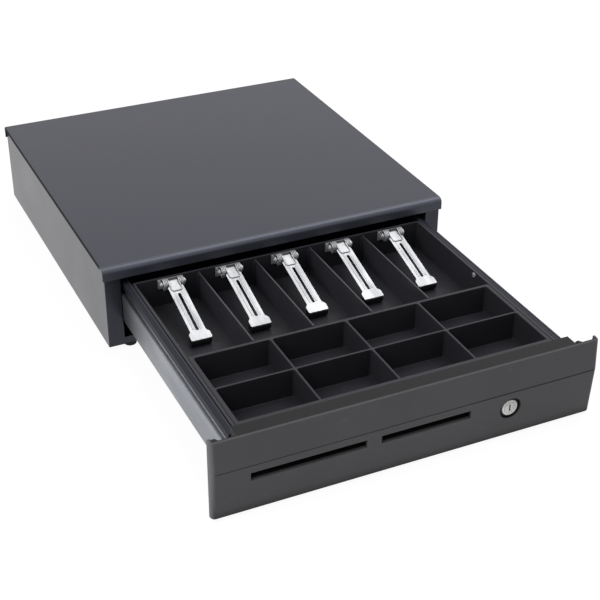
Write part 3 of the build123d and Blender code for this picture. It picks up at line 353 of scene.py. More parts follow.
def round_edges(piece, radius, segments, test):
    """Rounds the edges that pass the test."""
    choose(piece, "EDGE", test)
    bpy.ops.mesh.bevel(offset=radius, segments=segments, affect="EDGES")
    close_editing()


def apply(piece, kind, **settings):
    """Runs a modifier on a piece and keeps its result as the piece's mesh."""
    work_on(piece)
    modifier = piece.modifiers.new(kind.lower(), kind)
    for name, value in settings.items():
        setattr(modifier, name, value)
    bpy.ops.object.modifier_apply(modifier=modifier.name)


def cut(piece, *tools):
    """Takes the tools' shapes out of a piece."""
    for tool in tools:
        apply(piece, "BOOLEAN", operation="DIFFERENCE", object=tool, solver="EXACT")
        bpy.data.objects.remove(tool)


def weld(piece, *others):
    """Makes others one body with a piece."""
    for other in others:
        apply(piece, "BOOLEAN", operation="UNION", object=other, solver="EXACT")
        bpy.data.objects.remove(other)


def gathered(name, pieces):
    """Puts separate bodies together as one object."""
    work_on(*pieces)
    if len(pieces) > 1:
        bpy.ops.object.join()
    piece = bpy.context.view_layer.objects.active
    piece.name = name
    piece.data.name = name
    return piece


def copy_of(piece, name, move=(0, 0, 0)):
    """The same piece again, with a mesh of its own, some way off."""
    twin = piece.copy()
    twin.data = piece.data.copy()
    twin.name = name
    twin.data.name = name
    scene.collection.objects.link(twin)
    twin.data.transform(Matrix.Translation(move))
    return twin


def other_hand(piece, name):
    """The same piece for the left side."""
    twin = copy_of(piece, name)
    twin.data.transform(Matrix.Scale(-1, 4, (1, 0, 0)))
    choose_all(twin)
    bpy.ops.mesh.normals_make_consistent(inside=False)
    close_editing()
    return twin


def soften(piece, width, segments=2):
    """Clears what the cuts left too small, breaks every sharp edge and smooths the faces between."""
    choose_all(piece)
    bpy.ops.mesh.remove_doubles(threshold=merge_gap)
    bpy.ops.mesh.dissolve_degenerate(threshold=sliver)
    close_editing()
    apply(piece, "BEVEL", limit_method="ANGLE", angle_limit=sharp_angle, width=width, segments=segments)
    work_on(piece)
    bpy.ops.object.shade_smooth_by_angle(angle=smooth_angle)
    apply(piece, "WEIGHTED_NORMAL", keep_sharp=True)


def coat(piece, material):
    """Lays a finish on a piece, over what a node of the frame came with."""
    if piece.material_slots:
        for place in piece.material_slots:
            place.material = material
    else:
        piece.data.materials.append(material)


cover_low, cover_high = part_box("top_cover")
side_low, side_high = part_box("right_side_panel")
opening_half = side_low.x
cover = block(cover_low, cover_high, "cover")
round_edges(cover, front_roll, 8, lying(along="x", y=cover_low.y, z=cover_high.z))
round_edges(cover, pressed_radius, 3, lying(along="y", x=cover_high.x, z=cover_high.z))
hollow_low = cover_low + Vector((sheet, sheet, -tool_run))
hollow_high = cover_high - Vector((sheet, sheet, sheet))
cover_hollow = block(hollow_low, hollow_high)
round_edges(cover_hollow, front_roll - sheet, 8, lying(along="x", y=hollow_low.y, z=hollow_high.z))
cut(cover, cover_hollow)
for side in (-1, 1):
    near_x, far_x = across(side, cover_high.x - 2 * sheet, cover_high.x + tool_run)
    below_lip = block(
        (near_x, cover_low.y + corner_length, cover_low.z - tool_run),
        (far_x, cover_high.y - sheet, cover_high.z - side_lip_height),
    )
    cut(cover, below_lip)
lip_flange = block(
    (-opening_half, cover_low.y + sheet / 2, cover_low.z),
    (opening_half, cover_low.y + lip_return, cover_low.z + sheet),
)
weld(cover, lip_flange)
soften(cover, worn_edge)


def powder_coat(name, colour, worn_and_lit_colour, roughness, gloss, wear_and_highlight=None, painted_gap_shadow=None):
    """Baked powder: a satin black over fine orange peel, paler where a mask paints highlights, and painted
    black and matt where a mask paints a shadow.
    """
    powder = Finish(bpy.data.materials.new(name))
    cloud = powder.noise(per_metre=14, detail=3)
    peel = powder.noise(per_metre=650)
    grain = powder.noise(per_metre=2600)
    # A cloudy tone of the powder, raised towards the paler colour where a mask paints highlights.
    rubbed = cloud * 0.15
    if wear_and_highlight:
        rubbed = powder.most(rubbed, wear_and_highlight(powder))
    colour_now = powder.mixed(rubbed, tint(colour), tint(worn_and_lit_colour))
    speck = powder.rise(grain, 0.58, 0.72) * 0.22
    colour_now = powder.mixed(speck, colour_now, tint(worn_and_lit_colour))
    roughness_now = powder.around(roughness, (cloud, 0.1), (grain, 0.08))
    # Painted shadow: black and matt where a mask asks.
    if painted_gap_shadow:
        gap_shadow = painted_gap_shadow(powder)
        colour_now = powder.mixed(gap_shadow, colour_now, tint(gap_shadow_black))
        roughness_now = powder.most(roughness_now, gap_shadow)
    sockets = {
        "Base Color": colour_now,
        "Roughness": roughness_now,
        "Specular IOR Level": gloss,
        "Specular Tint": tint(powder_sheen),
        "Normal": powder.bump(peel * 0.6 + grain * 0.4, powder_depth, strength=0.35),
    }
    return powder.surface(sockets)


def rolled_edge_painted_highlight(finish):
    """A painted highlight along the rolled front edge, and painted light on the lip's face below it."""
    front = finish.over("y", cover_low.y + 1.7 * front_roll, cover_low.y + 0.6 * front_roll)
    top = finish.over("z", cover_high.z - 0.75 * front_roll, cover_high.z - 0.35 * front_roll)
    # The roll's top gets the stronger painted highlight, the lip's face a weaker painted light.
    return front * (top * 0.3 + 0.4)


def side_lip_painted_shadow(finish):
    """Painted shadow: the narrow lips along the sides, painted black and matt as a shadow line under the
    cover's edge, back from the front.
    """
    edge = finish.rise(finish.off_middle(), cover_high.x - 1.2 * sheet, cover_high.x - 0.4 * sheet)
    return edge * finish.over("y", cover_low.y + front_roll, cover_low.y + 2 * front_roll)


# The cover's paint, with a painted highlight on its rolled front edge and a painted shadow line under its
# side edges.
cover_paint = powder_coat(
    "cover_paint",
    colour="1d1d26",
    worn_and_lit_colour="50525b",
    roughness=0.34,
    gloss=0.5,
    wear_and_highlight=rolled_edge_painted_highlight,
    painted_gap_shadow=side_lip_painted_shadow,
)
coat(cover, cover_paint)
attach(cover, "cabinet")
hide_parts("top_cover")

# The side panels: one folded sheet each, with a broad front post and a stiffening return behind
# it. They are screwed and spot-welded to the base and painted the same charcoal.
post_return = 10 * mm
post_notch = 4 * mm
right_side = block((side_high.x - sheet, side_low.y, side_low.z), side_high, "right_side")
post = block(side_low, (side_high.x - sheet / 2, side_low.y + sheet, side_high.z))
stiffener = block(
    (side_low.x, side_low.y + sheet / 2, side_low.z),
    (side_low.x + sheet, side_low.y + post_return, side_high.z),
)
weld(right_side, post, stiffener)
for post_x in (side_low.x, side_high.x):
    round_edges(right_side, pressed_radius, 4, lying(along="z", x=post_x, y=side_low.y))
notch = block(
    (side_low.x - tool_run, side_low.y - tool_run, side_high.z - post_notch),
    (side_high.x + tool_run, cover_low.y + front_roll, side_high.z + tool_run),
)
cut(right_side, notch)
left_side = other_hand(right_side, "left_side")
cabinet_paint = powder_coat(
    "cabinet_paint", colour="1b1b20", worn_and_lit_colour="45464b", roughness=0.28, gloss=0.5
)
for side_panel, node in ((right_side, "right_side_panel"), (left_side, "left_side_panel")):
    soften(side_panel, worn_edge)
    coat(side_panel, cabinet_paint)
    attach(side_panel, "cabinet")
    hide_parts(node)

# The base, the back wall and the cross rail under the cover: plain bent sheets in the same paint,
# with the holes for the counter screws and the socket.


def coat_nodes(material, *nodes):
    """Lays a finish on pieces that stay as the frame has them."""
    for node in nodes:
        coat(frame["nodes"][node], material)


coat_nodes(cabinet_paint, "base_pan", "rear_panel", "front_top_rail")

# The feet: four tapered buttons of black moulded rubber under the corners of the base. Each has a
# deep recess, in which the screw that holds it sits.
foot_radius = 8 * mm
foot_taper = 1 * mm
foot_recess_radius = 4 * mm
foot_recess_depth = 4.2 * mm
foot_rim = 0.8 * mm
foot_sides = 48
rubber_depth = 0.08 * mm
feet_low, feet_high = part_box("rubber_feet")
foot_height = feet_high.z - feet_low.z
foot_places = [
    (x, y)
    for x in (feet_low.x + foot_radius, feet_high.x - foot_radius)
    for y in (feet_low.y + foot_radius, feet_high.y - foot_radius)
]
feet = []
for x, y in foot_places:
    work_on(table)
    bpy.ops.mesh.primitive_cone_add(
        vertices=foot_sides,
        radius1=foot_radius - foot_taper,
        radius2=foot_radius,
        depth=foot_height,
        location=(x, y, foot_height / 2),
    )
    foot = settled("foot")
    choose(foot, "FACE", lying(z=0))
    bpy.ops.mesh.inset(thickness=foot_radius - foot_taper - foot_recess_radius)
    bpy.ops.mesh.extrude_region_move(TRANSFORM_OT_translate={"value": (0, 0, foot_recess_depth)})
    close_editing()
    feet.append(foot)
rubber_feet = gathered("feet", feet)
soften(rubber_feet, foot_rim, 3)
rubber = Finish(bpy.data.materials.new("black_rubber"))
dust = rubber.rise(rubber.noise(per_metre=120, detail=4), 0.5, 0.8)
black_rubber = rubber.surface(
    {
        "Base Color": rubber.mixed(dust * 0.5, tint("1b1b1c"), tint("333334")),
        "Roughness": dust * 0.15 + 0.7,
        "Specular IOR Level": 0.25,
        "Normal": rubber.bump(rubber.noise(per_metre=900), rubber_depth, strength=0.5),
    }
)
coat(rubber_feet, black_rubber)
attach(rubber_feet, "cabinet")
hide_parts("rubber_feet")
coat_nodes(black_rubber, "panel_bumpers")

# The screws: zinc-plated pan heads. Those of the cover show in its back lip and those of the feet
# sit deep in the rubber.
screw_head_radius = 3.2 * mm
screw_head_height = 1.8 * mm
screw_head_round = 0.55 * screw_head_height
small_sides = 32
shank_sides = 20
screw_edge = 0.1 * mm
screw_shank_radius = 1.5 * mm
screw_length = 7 * mm
cross_width = 0.8 * mm
cross_length = 3.6 * mm
cross_depth = 1.1 * mm
cover_screw_inset = 30 * mm
cover_screw_drop = 7 * mm
plating_depth = 0.02 * mm
# The near black of the painted shadow on the slides.
painted_shadow_black = "1c1d20"


def pan_head_screw(place, way):
    """A screw whose head stands on a surface at a place and whose shank goes the other way."""
    screw = rod(screw_head_radius, (0, 0, 0), (0, 0, screw_head_height), small_sides)
    round_edges(screw, screw_head_round, 5, lying(z=screw_head_height))
    shank_top = (0, 0, screw_head_height / 4)
    shank = rod(screw_shank_radius, (0, 0, -screw_length), shank_top, shank_sides)
    weld(screw, shank)
    for long_x, long_y in ((cross_length, cross_width), (cross_width, cross_length)):
        low = (-long_x / 2, -long_y / 2, screw_head_height - cross_depth)
        cut(screw, block(low, (long_x / 2, long_y / 2, screw_head_height + tool_run)))
    screw.data.transform(Vector(way).to_track_quat("Z", "Y").to_matrix().to_4x4())
    screw.data.transform(Matrix.Translation(place))
    return screw


shell_half = side_high.x
screws = []
for x in (-shell_half + cover_screw_inset, 0, shell_half - cover_screw_inset):
    screws.append(pan_head_screw((x, cover_high.y, cover_high.z - cover_screw_drop), (0, 1, 0)))
for x, y in foot_places:
    screws.append(pan_head_screw((x, y, foot_recess_depth), (0, 0, -1)))
case_screws = gathered("case_screws", screws)
soften(case_screws, screw_edge)


def plated_steel(name, colour, dark_colour, roughness, streak=(1, 1, 1), metallic=0.9, painted_shadow=None):
    """Plated sheet: a pale metal with faint spangle, streaked as it was rolled, and with a painted shadow
    where a mask gives one.
    """
    plate = Finish(bpy.data.materials.new(name))
    spangle = plate.noise(per_metre=85, detail=3, stretch=streak)
    fine = plate.noise(per_metre=1500, stretch=streak)
    stain = plate.rise(plate.noise(per_metre=22, detail=4), 0.45, 0.75)
    colour_now = plate.mixed(plate.rise(spangle, 0.35, 0.65) * 0.5, tint(colour), tint(dark_colour))
    colour_now = plate.mixed(stain * 0.25, colour_now, tint(dark_colour))
    # Painted shadow: near black where a mask asks.
    if painted_shadow:
        colour_now = plate.mixed(painted_shadow(plate), colour_now, tint(painted_shadow_black))
    sockets = {
        "Base Color": colour_now,
        "Metallic": metallic,
        "Roughness": plate.around(roughness, (spangle, 0.14), (fine, 0.1)),
        "Normal": plate.bump(fine, plating_depth, strength=0.3),
    }
    return plate.surface(sockets)


screw_steel = plated_steel("screw_steel", colour="b9bbbd", dark_colour="8b8d90", roughness=0.35)
coat(case_screws, screw_steel)
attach(case_screws, "cabinet")
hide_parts("cabinet_screws")
coat_nodes(screw_steel, "drawer_screws", "lock_cam_screw")

# The ball slides: a fixed channel on each side, held off the wall by hat brackets, and a rail on
# each drawer wall, roll-formed from zinc-plated strip, with steel balls between them.
rolled = (1, 0.12, 1)
drawn = (1, 0.2, 1)
# The painted shadow on the slides: how far its edge wanders, and where it starts and where it is full.
shadow_edge_spread = 60 * mm
shadow_start = 170 * mm
shadow_full = 30 * mm
zinc_steel = plated_steel(
    "zinc_steel", colour="9a9da4", dark_colour="7f8289", roughness=0.48, streak=rolled, metallic=0.35
)
coat_nodes(zinc_steel, "slide_brackets", "till_supports")
rail_low, rail_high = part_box("right_slide_rail")


def slide_painted_shadow(finish):
    """A painted shadow on the slides: darker towards the back, where the cabinet shades them near its
    opening, with a ragged front edge.
    """
    shadow_edge_noise = finish.noise(per_metre=30, detail=3, stretch=(1, 0.3, 1)) * shadow_edge_spread
    reached = finish.along("y") + shadow_edge_noise
    return finish.rise(reached, rail_high.y - shadow_start, rail_high.y - shadow_full) * 0.85


# The slides' steel, with a painted shadow towards the back.
slide_steel = plated_steel(
    "slide_steel",
    colour="95989f",
    dark_colour="7f8289",
    roughness=0.48,
    streak=rolled,
    metallic=0.35,
    painted_shadow=slide_painted_shadow,
)
coat_nodes(slide_steel, "left_slide_channel", "right_slide_channel", "ball_cages")
coat_nodes(slide_steel, "left_slide_rail", "right_slide_rail")
bright_steel = plated_steel(
    "spring_steel", colour="b4b5b7", dark_colour="8b8d90", roughness=0.42, streak=drawn, metallic=0.6
)
coat_nodes(bright_steel, "slide_balls")

# The drawer: a folded tray of thin steel whose side walls end in broad outward hems over the
# slides, with a front and a back wall spot-welded in. Sprayed a smooth, nearly black blue.
hem_height = 7.5 * mm
hem_radius = 1.6 * mm
end_wall_drop = 1.5 * mm
slot_side_inset = 7.7 * mm
slot_gap = 15.3 * mm
left_slot_length = 118 * mm
right_slot_length = 97 * mm
slot_floor_height = 17 * mm
slot_height = 7.5 * mm
barrel_radius = 8 * mm
barrel_play = 0.3 * mm
cam_slot_play = 2 * mm
drawer_low, drawer_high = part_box("drawer_box")
drawer_half = rail_low.x
plug_low, plug_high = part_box("lock_plug")
lock_x = (plug_low.x + plug_high.x) / 2
lock_z = (plug_low.z + plug_high.z) / 2
drawer = block(
    (-drawer_half, drawer_low.y, drawer_low.z),
    (drawer_half, drawer_high.y, drawer_high.z),
    "drawer",
)
round_edges(drawer, hem_radius, 4, lying(along="y", z=drawer_low.z))
hem_bottom = drawer_high.z - hem_height
for side in (-1, 1):
    near_x, far_x = across(side, drawer_half - 2 * sheet, drawer_high.x)
    hem = block((near_x, drawer_low.y, hem_bottom), (far_x, drawer_high.y, drawer_high.z))
    round_edges(hem, hem_radius, 4, lying(along="y", x=drawer_high.x, z=drawer_high.z))
    weld(drawer, hem)
    near_x, far_x = across(side, drawer_half, drawer_high.x - sheet)
    under_hem = block(
        (near_x, drawer_low.y - tool_run, hem_bottom - tool_run),
        (far_x, drawer_high.y + tool_run, drawer_high.z - sheet),
    )
    cut(drawer, under_hem)
inner_half = drawer_half - sheet
tray_space = block(
    (-inner_half, drawer_low.y + sheet, drawer_low.z + sheet),
    (inner_half, drawer_high.y - sheet, drawer_high.z + tool_run),
)
over_end_walls = block(
    (-inner_half, drawer_low.y - tool_run, drawer_high.z - end_wall_drop),
    (inner_half, drawer_high.y + tool_run, drawer_high.z + tool_run),
)
cut(drawer, tray_space, over_end_walls)
slot_low_z = drawer_low.z + slot_floor_height
slot_high_z = slot_low_z + slot_height
left_slot = (slot_side_inset - drawer_half, slot_side_inset - drawer_half + left_slot_length)
right_slot = (left_slot[1] + slot_gap, left_slot[1] + slot_gap + right_slot_length)
for start, end in (left_slot, right_slot):
    low = (start, drawer_low.y - tool_run, slot_low_z)
    cut(drawer, block(low, (end, drawer_low.y + tool_run, slot_high_z)))


def lock_rod(radius, front, back, sides=48, name="rod"):
    """A round bar on the axis of the lock."""
    return rod(radius, (lock_x, front, lock_z), (lock_x, back, lock_z), sides, name)


barrel_hole = lock_rod(barrel_radius + barrel_play, drawer_low.y - tool_run, drawer_low.y + tool_run)
cam_low, cam_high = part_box("lock_cam")
cam_slot = block(
    (cam_low.x - cam_slot_play, cam_low.y - cam_slot_play, drawer_low.z - tool_run),
    (cam_high.x, cam_high.y + cam_slot_play, drawer_low.z + tool_run),
)
cut(drawer, barrel_hole, cam_slot)
soften(drawer, worn_edge)


def hem_painted_highlights(finish):
    """Painted highlights: bright lines along the folds of the hems."""
    side = finish.off_middle()
    fold = finish.rise(side, drawer_half - 1.4 * sheet, drawer_half - 0.5 * sheet)
    fold = fold * (1 - finish.rise(side, drawer_half + 0.2 * sheet, drawer_half + sheet))
    lip = finish.rise(side, drawer_high.x - 1.6 * sheet, drawer_high.x - 0.9 * sheet)
    top = finish.over("z", drawer_high.z - 1.2 * sheet, drawer_high.z - 0.4 * sheet)
    return finish.most(fold, lip * 0.4) * top * 0.5


# The drawer's paint, with painted highlight lines along the hems.
drawer_paint = powder_coat(
    "drawer_paint", colour="17181e", worn_and_lit_colour="44464e", roughness=0.5, gloss=0.17, wear_and_highlight=hem_painted_highlights
)
coat(drawer, drawer_paint)
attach(drawer, "drawer")
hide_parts("drawer_box")

# The front: a deep moulded shell of textured dark grey plastic, a little proud at a crease above
# the two slots, screwed on from inside the drawer. Its ends are shallow and open at the top.
panel_wall = 3 * mm
crease_share = 0.616
top_setback = 2 * mm
bottom_setback = 4 * mm
end_round = 4.7 * mm
end_depth = 10 * mm
end_pocket_round = 6 * mm
edge_round = 1.8 * mm
end_rib_gap = 3 * mm
end_rib = 2 * mm
groove_height = 0.9 * mm
groove_depth = 0.6 * mm
slot_wall = 2 * mm
flare_depth = 4.5 * mm
flare_drop = 5.5 * mm
fine_sides = 64
recess_radius = 12 * mm
recess_wall = 1.5 * mm
recess_depth = 5 * mm
bumper_inset_x = 11 * mm
bumper_inset_z = 15 * mm
bumper_boss_radius = 5 * mm
panel_edge = 0.35 * mm
grain_depth = 0.06 * mm
# The painted shadow band under the crease, and the dark of the painted shade on the panel.
crease_shadow_width = 2 * mm
painted_shade_black = "161618"
panel_low, panel_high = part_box("front_panel")
crease_z = panel_low.z + crease_share * (panel_high.z - panel_low.z)


def lean(height):
    """How far the panel's face stands behind its crease at a height."""
    if height > crease_z:
        return top_setback * (height - crease_z) / (panel_high.z - crease_z)
    return bottom_setback * (crease_z - height) / (crease_z - panel_low.z)


def divide(shape, axis, place):
    """Marks a line round a shape at a place along an axis."""
    way = Matrix.Identity(3)["xyz".index(axis)]
    choose_all(shape)
    bpy.ops.mesh.bisect(plane_co=way * place, plane_no=way)
    close_editing()


def push(shape, test, move):
    """Moves the edges that pass the test."""
    choose(shape, "EDGE", test)
    bpy.ops.transform.translate(value=move)
    close_editing()


def creased_block(low, high, name="block"):
    """A block whose front leans back above and below the crease."""
    shape = block(low, high, name)
    divide(shape, "z", crease_z)
    for height in (low[2], high[2]):
        push(shape, lying(along="x", y=low[1], z=height), (0, lean(height), 0))
    return shape


def front_corners(end_x, front_y):
    """Picks the leaning corners at both ends of a creased block's front."""

    def test(edge):
        place = middle(edge)
        upright = not runs(edge, "x") and not runs(edge, "y")
        return upright and near(abs(place.x), end_x) and place.y < front_y + bottom_setback

    return test


panel = creased_block(panel_low, panel_high, "panel")
round_edges(panel, end_round, 5, front_corners(panel_high.x, panel_low.y))
round_edges(
    panel,
    edge_round,
    4,
    lambda edge: middle(edge).y < panel_low.y + end_depth
    and (near(middle(edge).z, panel_low.z) or near(middle(edge).z, panel_high.z))
    and len(edge.link_faces) == 2
    and edge.calc_face_angle(0) > sharp_angle
    and abs((edge.verts[0].co - edge.verts[1].co).z) < worn_edge,
)
end_start = drawer_half + end_rib_gap + end_rib / 2
main_hollow = creased_block(
    (-end_start, panel_low.y + panel_wall, panel_low.z + panel_wall),
    (end_start, panel_high.y + tool_run, panel_high.z - panel_wall),
)
cut(panel, main_hollow)
inner_end = panel_high.x - panel_wall
for side in (-1, 1):
    near_x, far_x = across(side, end_start, inner_end)
    pocket = creased_block(
        (near_x, panel_low.y + panel_wall, panel_low.z + panel_wall),
        (far_x, panel_high.y + tool_run, panel_high.z + tool_run),
    )
    round_edges(pocket, end_pocket_round, 6, front_corners(inner_end, panel_low.y + panel_wall))
    near_x, far_x = across(side, end_start, panel_high.x + tool_run)
    behind_end = block(
        (near_x, panel_low.y + end_depth, panel_low.z - tool_run),
        (far_x, panel_high.y + tool_run, panel_high.z + tool_run),
    )
    cut(panel, pocket, behind_end)
    near_x, far_x = across(side, end_start - end_rib, end_start)
    rib = creased_block(
        (near_x, panel_low.y + panel_wall / 2, panel_low.z + panel_wall / 2),
        (far_x, panel_high.y, panel_high.z - panel_wall / 2),
    )
    weld(panel, rib)
    boss_x = side * (panel_high.x - bumper_inset_x)
    for height in (panel_low.z + bumper_inset_z, panel_high.z - bumper_inset_z):
        start = (boss_x, panel_low.y + lean(height) + panel_wall / 2, height)
        end = (boss_x, panel_high.y, height)
        weld(panel, rod(bumper_boss_radius, start, end, small_sides))
slot_front = panel_low.y - tool_run
for start, end in (left_slot, right_slot):
    tunnel = block(
        (start - slot_wall, panel_low.y + panel_wall, slot_low_z - slot_wall),
        (end + slot_wall, panel_high.y, slot_high_z + slot_wall),
    )
    weld(panel, tunnel)
    slot = block((start, slot_front, slot_low_z), (end, panel_high.y + tool_run, slot_high_z))
    divide(slot, "y", panel_low.y + flare_depth)
    push(slot, lying(along="x", y=slot_front, z=slot_low_z), (0, 0, -flare_drop))
    cut(panel, slot)
recess_floor = panel_low.y + recess_depth
weld(panel, lock_rod(recess_radius + recess_wall, panel_low.y + panel_wall, panel_high.y))
lock_recess = lock_rod(recess_radius, panel_low.y - tool_run, recess_floor, fine_sides)
lock_bore = lock_rod(barrel_radius + barrel_play, panel_low.y, panel_high.y + tool_run)
crease_groove = block(
    (panel_low.x - tool_run, panel_low.y - tool_run, crease_z - groove_height),
    (panel_high.x + tool_run, panel_low.y + groove_depth, crease_z),
)
cut(panel, lock_recess, lock_bore, crease_groove)
soften(panel, panel_edge)


def moulded_plastic(
    name, colour, pale_colour, roughness, gloss, grain_size=0.5 * mm, wear_and_highlight=None, painted_shade=None
):
    """Moulded plastic: black, made greyer by an eroded grain and by scuffs, lighter where a mask paints
    highlights, and painted dark where a mask paints shade.
    """
    plastic = Finish(bpy.data.materials.new(name))
    cloud = plastic.noise(per_metre=11, detail=3)
    grain = plastic.noise(per_metre=1 / grain_size)
    scuffs_and_highlights = plastic.rise(plastic.noise(per_metre=60, detail=5, stretch=(1, 1, 3)), 0.6, 0.75) * 0.3
    # Painted highlights join the scuffs where a mask gives them.
    if wear_and_highlight:
        scuffs_and_highlights = plastic.most(scuffs_and_highlights, wear_and_highlight(plastic))
    colour_now = plastic.mixed(cloud * 0.3 + grain * 0.2, tint(colour), tint(pale_colour))
    colour_now = plastic.mixed(scuffs_and_highlights * 0.5, colour_now, tint(pale_colour))
    # Painted shade: darker where a mask asks.
    if painted_shade:
        colour_now = plastic.mixed(painted_shade(plastic), colour_now, tint(painted_shade_black))
    sockets = {
        "Base Color": colour_now,
        "Roughness": plastic.around(roughness, (cloud, 0.1), (grain, 0.12)),
        "Specular IOR Level": gloss,
        "Normal": plastic.bump(grain, grain_depth, strength=0.4),
    }
    return plastic.surface(sockets)


def panel_ends(finish):
    """The rounded ends of the panel."""
    return finish.rise(finish.off_middle(), panel_high.x - end_round, panel_high.x - worn_edge)


def panel_painted_highlights(finish):
    """Painted highlights: a faint light line along the top front edge, and painted light on the rounded
    ends of the panel.
    """
    edge = panel_low.y + top_setback
    front = 1 - finish.over("y", edge, edge + edge_round)
    top = front * finish.over("z", panel_high.z - edge_round, panel_high.z - edge_round / 3)
    # A faint painted highlight on the top edge, and strong painted light on the ends.
    return finish.most(top * 0.3, panel_ends(finish) * 1.8)


def panel_painted_shade(finish):
    """Painted shade: the top and inside behind the front edge painted dark, and a painted shadow band under
    the crease, stronger towards the lock.
    """
    edge = panel_low.y + top_setback
    behind = finish.over("y", edge + 0.6 * edge_round, edge + 1.4 * edge_round)
    # The top and inside behind the front edge, painted dark as shade, all but the ends.
    smooth = behind * (1 - panel_ends(finish))
    # A painted shadow band just under the crease, rising towards the lock.
    under = finish.over("z", crease_z - crease_shadow_width, crease_z)
    under = under * (1 - finish.over("z", crease_z, crease_z + crease_shadow_width / 2))
    crease_shadow = under * finish.over("x", 0, lock_x) * 0.5
    return finish.most(smooth, crease_shadow)


# The panel's plastic, with painted highlights on its edges and ends and painted shade on its top and under
# the crease.
panel_plastic = moulded_plastic(
    "panel_plastic",
    colour="414143",
    pale_colour="68686b",
    roughness=0.5,
    gloss=0.16,
    grain_size=0.7 * mm,
    wear_and_highlight=panel_painted_highlights,
    painted_shade=panel_painted_shade,
)
coat(panel, panel_plastic)
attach(panel, "drawer")
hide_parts("front_panel")

# The lock: a chromed zinc barrel in a recess of the panel, held by a hexagon nut behind the
# drawer's front wall. Its plug turns a flat brass cam that hooks behind a catch on the base.
ring_thickness = 2.4 * mm
ring_radius = 8.8 * mm
ring_round = 0.9 * mm
plug_radius = 6.2 * mm
plug_play = 0.05 * mm
plug_round = 0.5 * mm
ring_edge = 0.15 * mm
plug_edge = 0.12 * mm
keyway_width = 1.8 * mm
keyway_length = 7.5 * mm
keyway_depth = 9 * mm
dish_depth = 0.5 * mm
dish_radius = 0.8 * plug_radius
barrel_low, barrel_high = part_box("lock_housing")
barrel_start = barrel_low.y + ring_thickness / 2
housing = lock_rod(barrel_radius, barrel_start, barrel_high.y, name="lock_barrel")
ring = lock_rod(ring_radius, barrel_low.y, barrel_low.y + ring_thickness, fine_sides)
round_edges(ring, ring_round, 4, lying(y=barrel_low.y))
weld(housing, ring)
bore_radius = plug_radius + plug_play
bore_start, bore_end = barrel_low.y - tool_run, barrel_high.y + tool_run
cut(housing, lock_rod(bore_radius, bore_start, bore_end, fine_sides))
soften(housing, ring_edge)
plug = lock_rod(plug_radius, plug_low.y, plug_high.y, fine_sides, "key_plug")
round_edges(plug, plug_round, 3, lying(y=plug_low.y))
keyway = block(
    (lock_x - keyway_width / 2, plug_low.y - tool_run, lock_z - keyway_length / 2),
    (lock_x + keyway_width / 2, plug_low.y + keyway_depth, lock_z + keyway_length / 2),
)
dish = lock_rod(dish_radius, plug_low.y - tool_run, plug_low.y + dish_depth)
cut(plug, dish, keyway)
soften(plug, plug_edge)
lock_chrome = plated_steel(
    "lock_chrome", colour="ced0ce", dark_colour="a6a8a6", roughness=0.4, metallic=0.45
)
for piece, body, node in ((housing, "drawer", "lock_housing"), (plug, "lock", "lock_plug")):
    coat(piece, lock_chrome)
    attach(piece, body)
    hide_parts(node)
coat_nodes(zinc_steel, "lock_nut")
lock_brass = plated_steel("lock_brass", colour="c0a062", dark_colour="8f7642", roughness=0.35)
coat_nodes(lock_brass, "lock_cam")

# The till: a lift-out tray of satin black plastic that rests on ledges in the drawer, with a
# cross wall between the coins and the notes and slotted guides for the dividers.
till_wall = 3 * mm
till_floor = 2 * mm
till_corner = 3 * mm
till_edge = 0.7 * mm
worn_rim = 0.9 * mm
worn_rim_end = 0.2 * mm
cross_wall = 2 * mm
cross_wall_drop = 3 * mm
divider_gap = 0.3 * mm
divider_thickness = 2 * mm
guide_play = 0.2 * mm
guide_rib = 1.2 * mm
guide_depth = 4 * mm
bay_side_gap = 5 * mm
note_bays = 5
till_low, till_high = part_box("till_tray")
divider_low, divider_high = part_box("note_dividers")
cross_back = divider_low.y - divider_gap
bay_back = divider_high.y + divider_gap
bay_floor = till_low.z + till_floor
bay_half = till_high.x - till_wall
note_pitch = 2 * (bay_half - bay_side_gap) / note_bays
till = block(till_low, till_high, "till")
round_edges(till, till_corner, 6, lying(along="z"))
over_till = till_high.z + tool_run
for front, back in ((till_low.y + till_wall, cross_back - cross_wall), (cross_back, bay_back)):
    space = block((-bay_half, front, bay_floor), (bay_half, back, over_till))
    round_edges(space, till_corner / 2, 4, lying(along="z"))
    cut(till, space)
over_cross_wall = block(
    (-bay_half, cross_back - cross_wall - till_wall, till_high.z - cross_wall_drop),
    (bay_half, cross_back + till_wall, over_till),
)
cut(till, over_cross_wall)


def spread(count):
    """Places side by side, a note bay apart and evenly about the middle."""
    return [(index - (count - 1) / 2) * note_pitch for index in range(count)]


divider_places = spread(note_bays - 1)
guide_reach = divider_thickness / 2 + guide_play
guide_low_z = bay_floor - till_floor / 2
guide_high_z = till_high.z - cross_wall_drop - till_edge
front_guide = (cross_back - cross_wall / 2, cross_back + guide_depth)
back_guide = (bay_back - guide_depth, bay_back + till_wall / 2)
guides = []
for x in divider_places:
    for start in (x - guide_reach - guide_rib, x + guide_reach):
        for low_y, high_y in (front_guide, back_guide):
            low = (start, low_y, guide_low_z)
            guides.append(block(low, (start + guide_rib, high_y, guide_high_z)))
weld(till, gathered("guides", guides))
soften(till, till_edge, 3)


def rim_wear(finish):
    """Pale rubbed rims, where coins and hands pass over the tray's edges."""
    return finish.over("z", till_high.z - worn_rim, till_high.z - worn_rim_end) * 0.3


till_plastic = moulded_plastic(
    "till_plastic", colour="202024", pale_colour="3e3e44", roughness=0.42, gloss=0.22, wear_and_highlight=rim_wear
)
coat(till, till_plastic)
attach(till, "till")
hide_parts("till_tray")

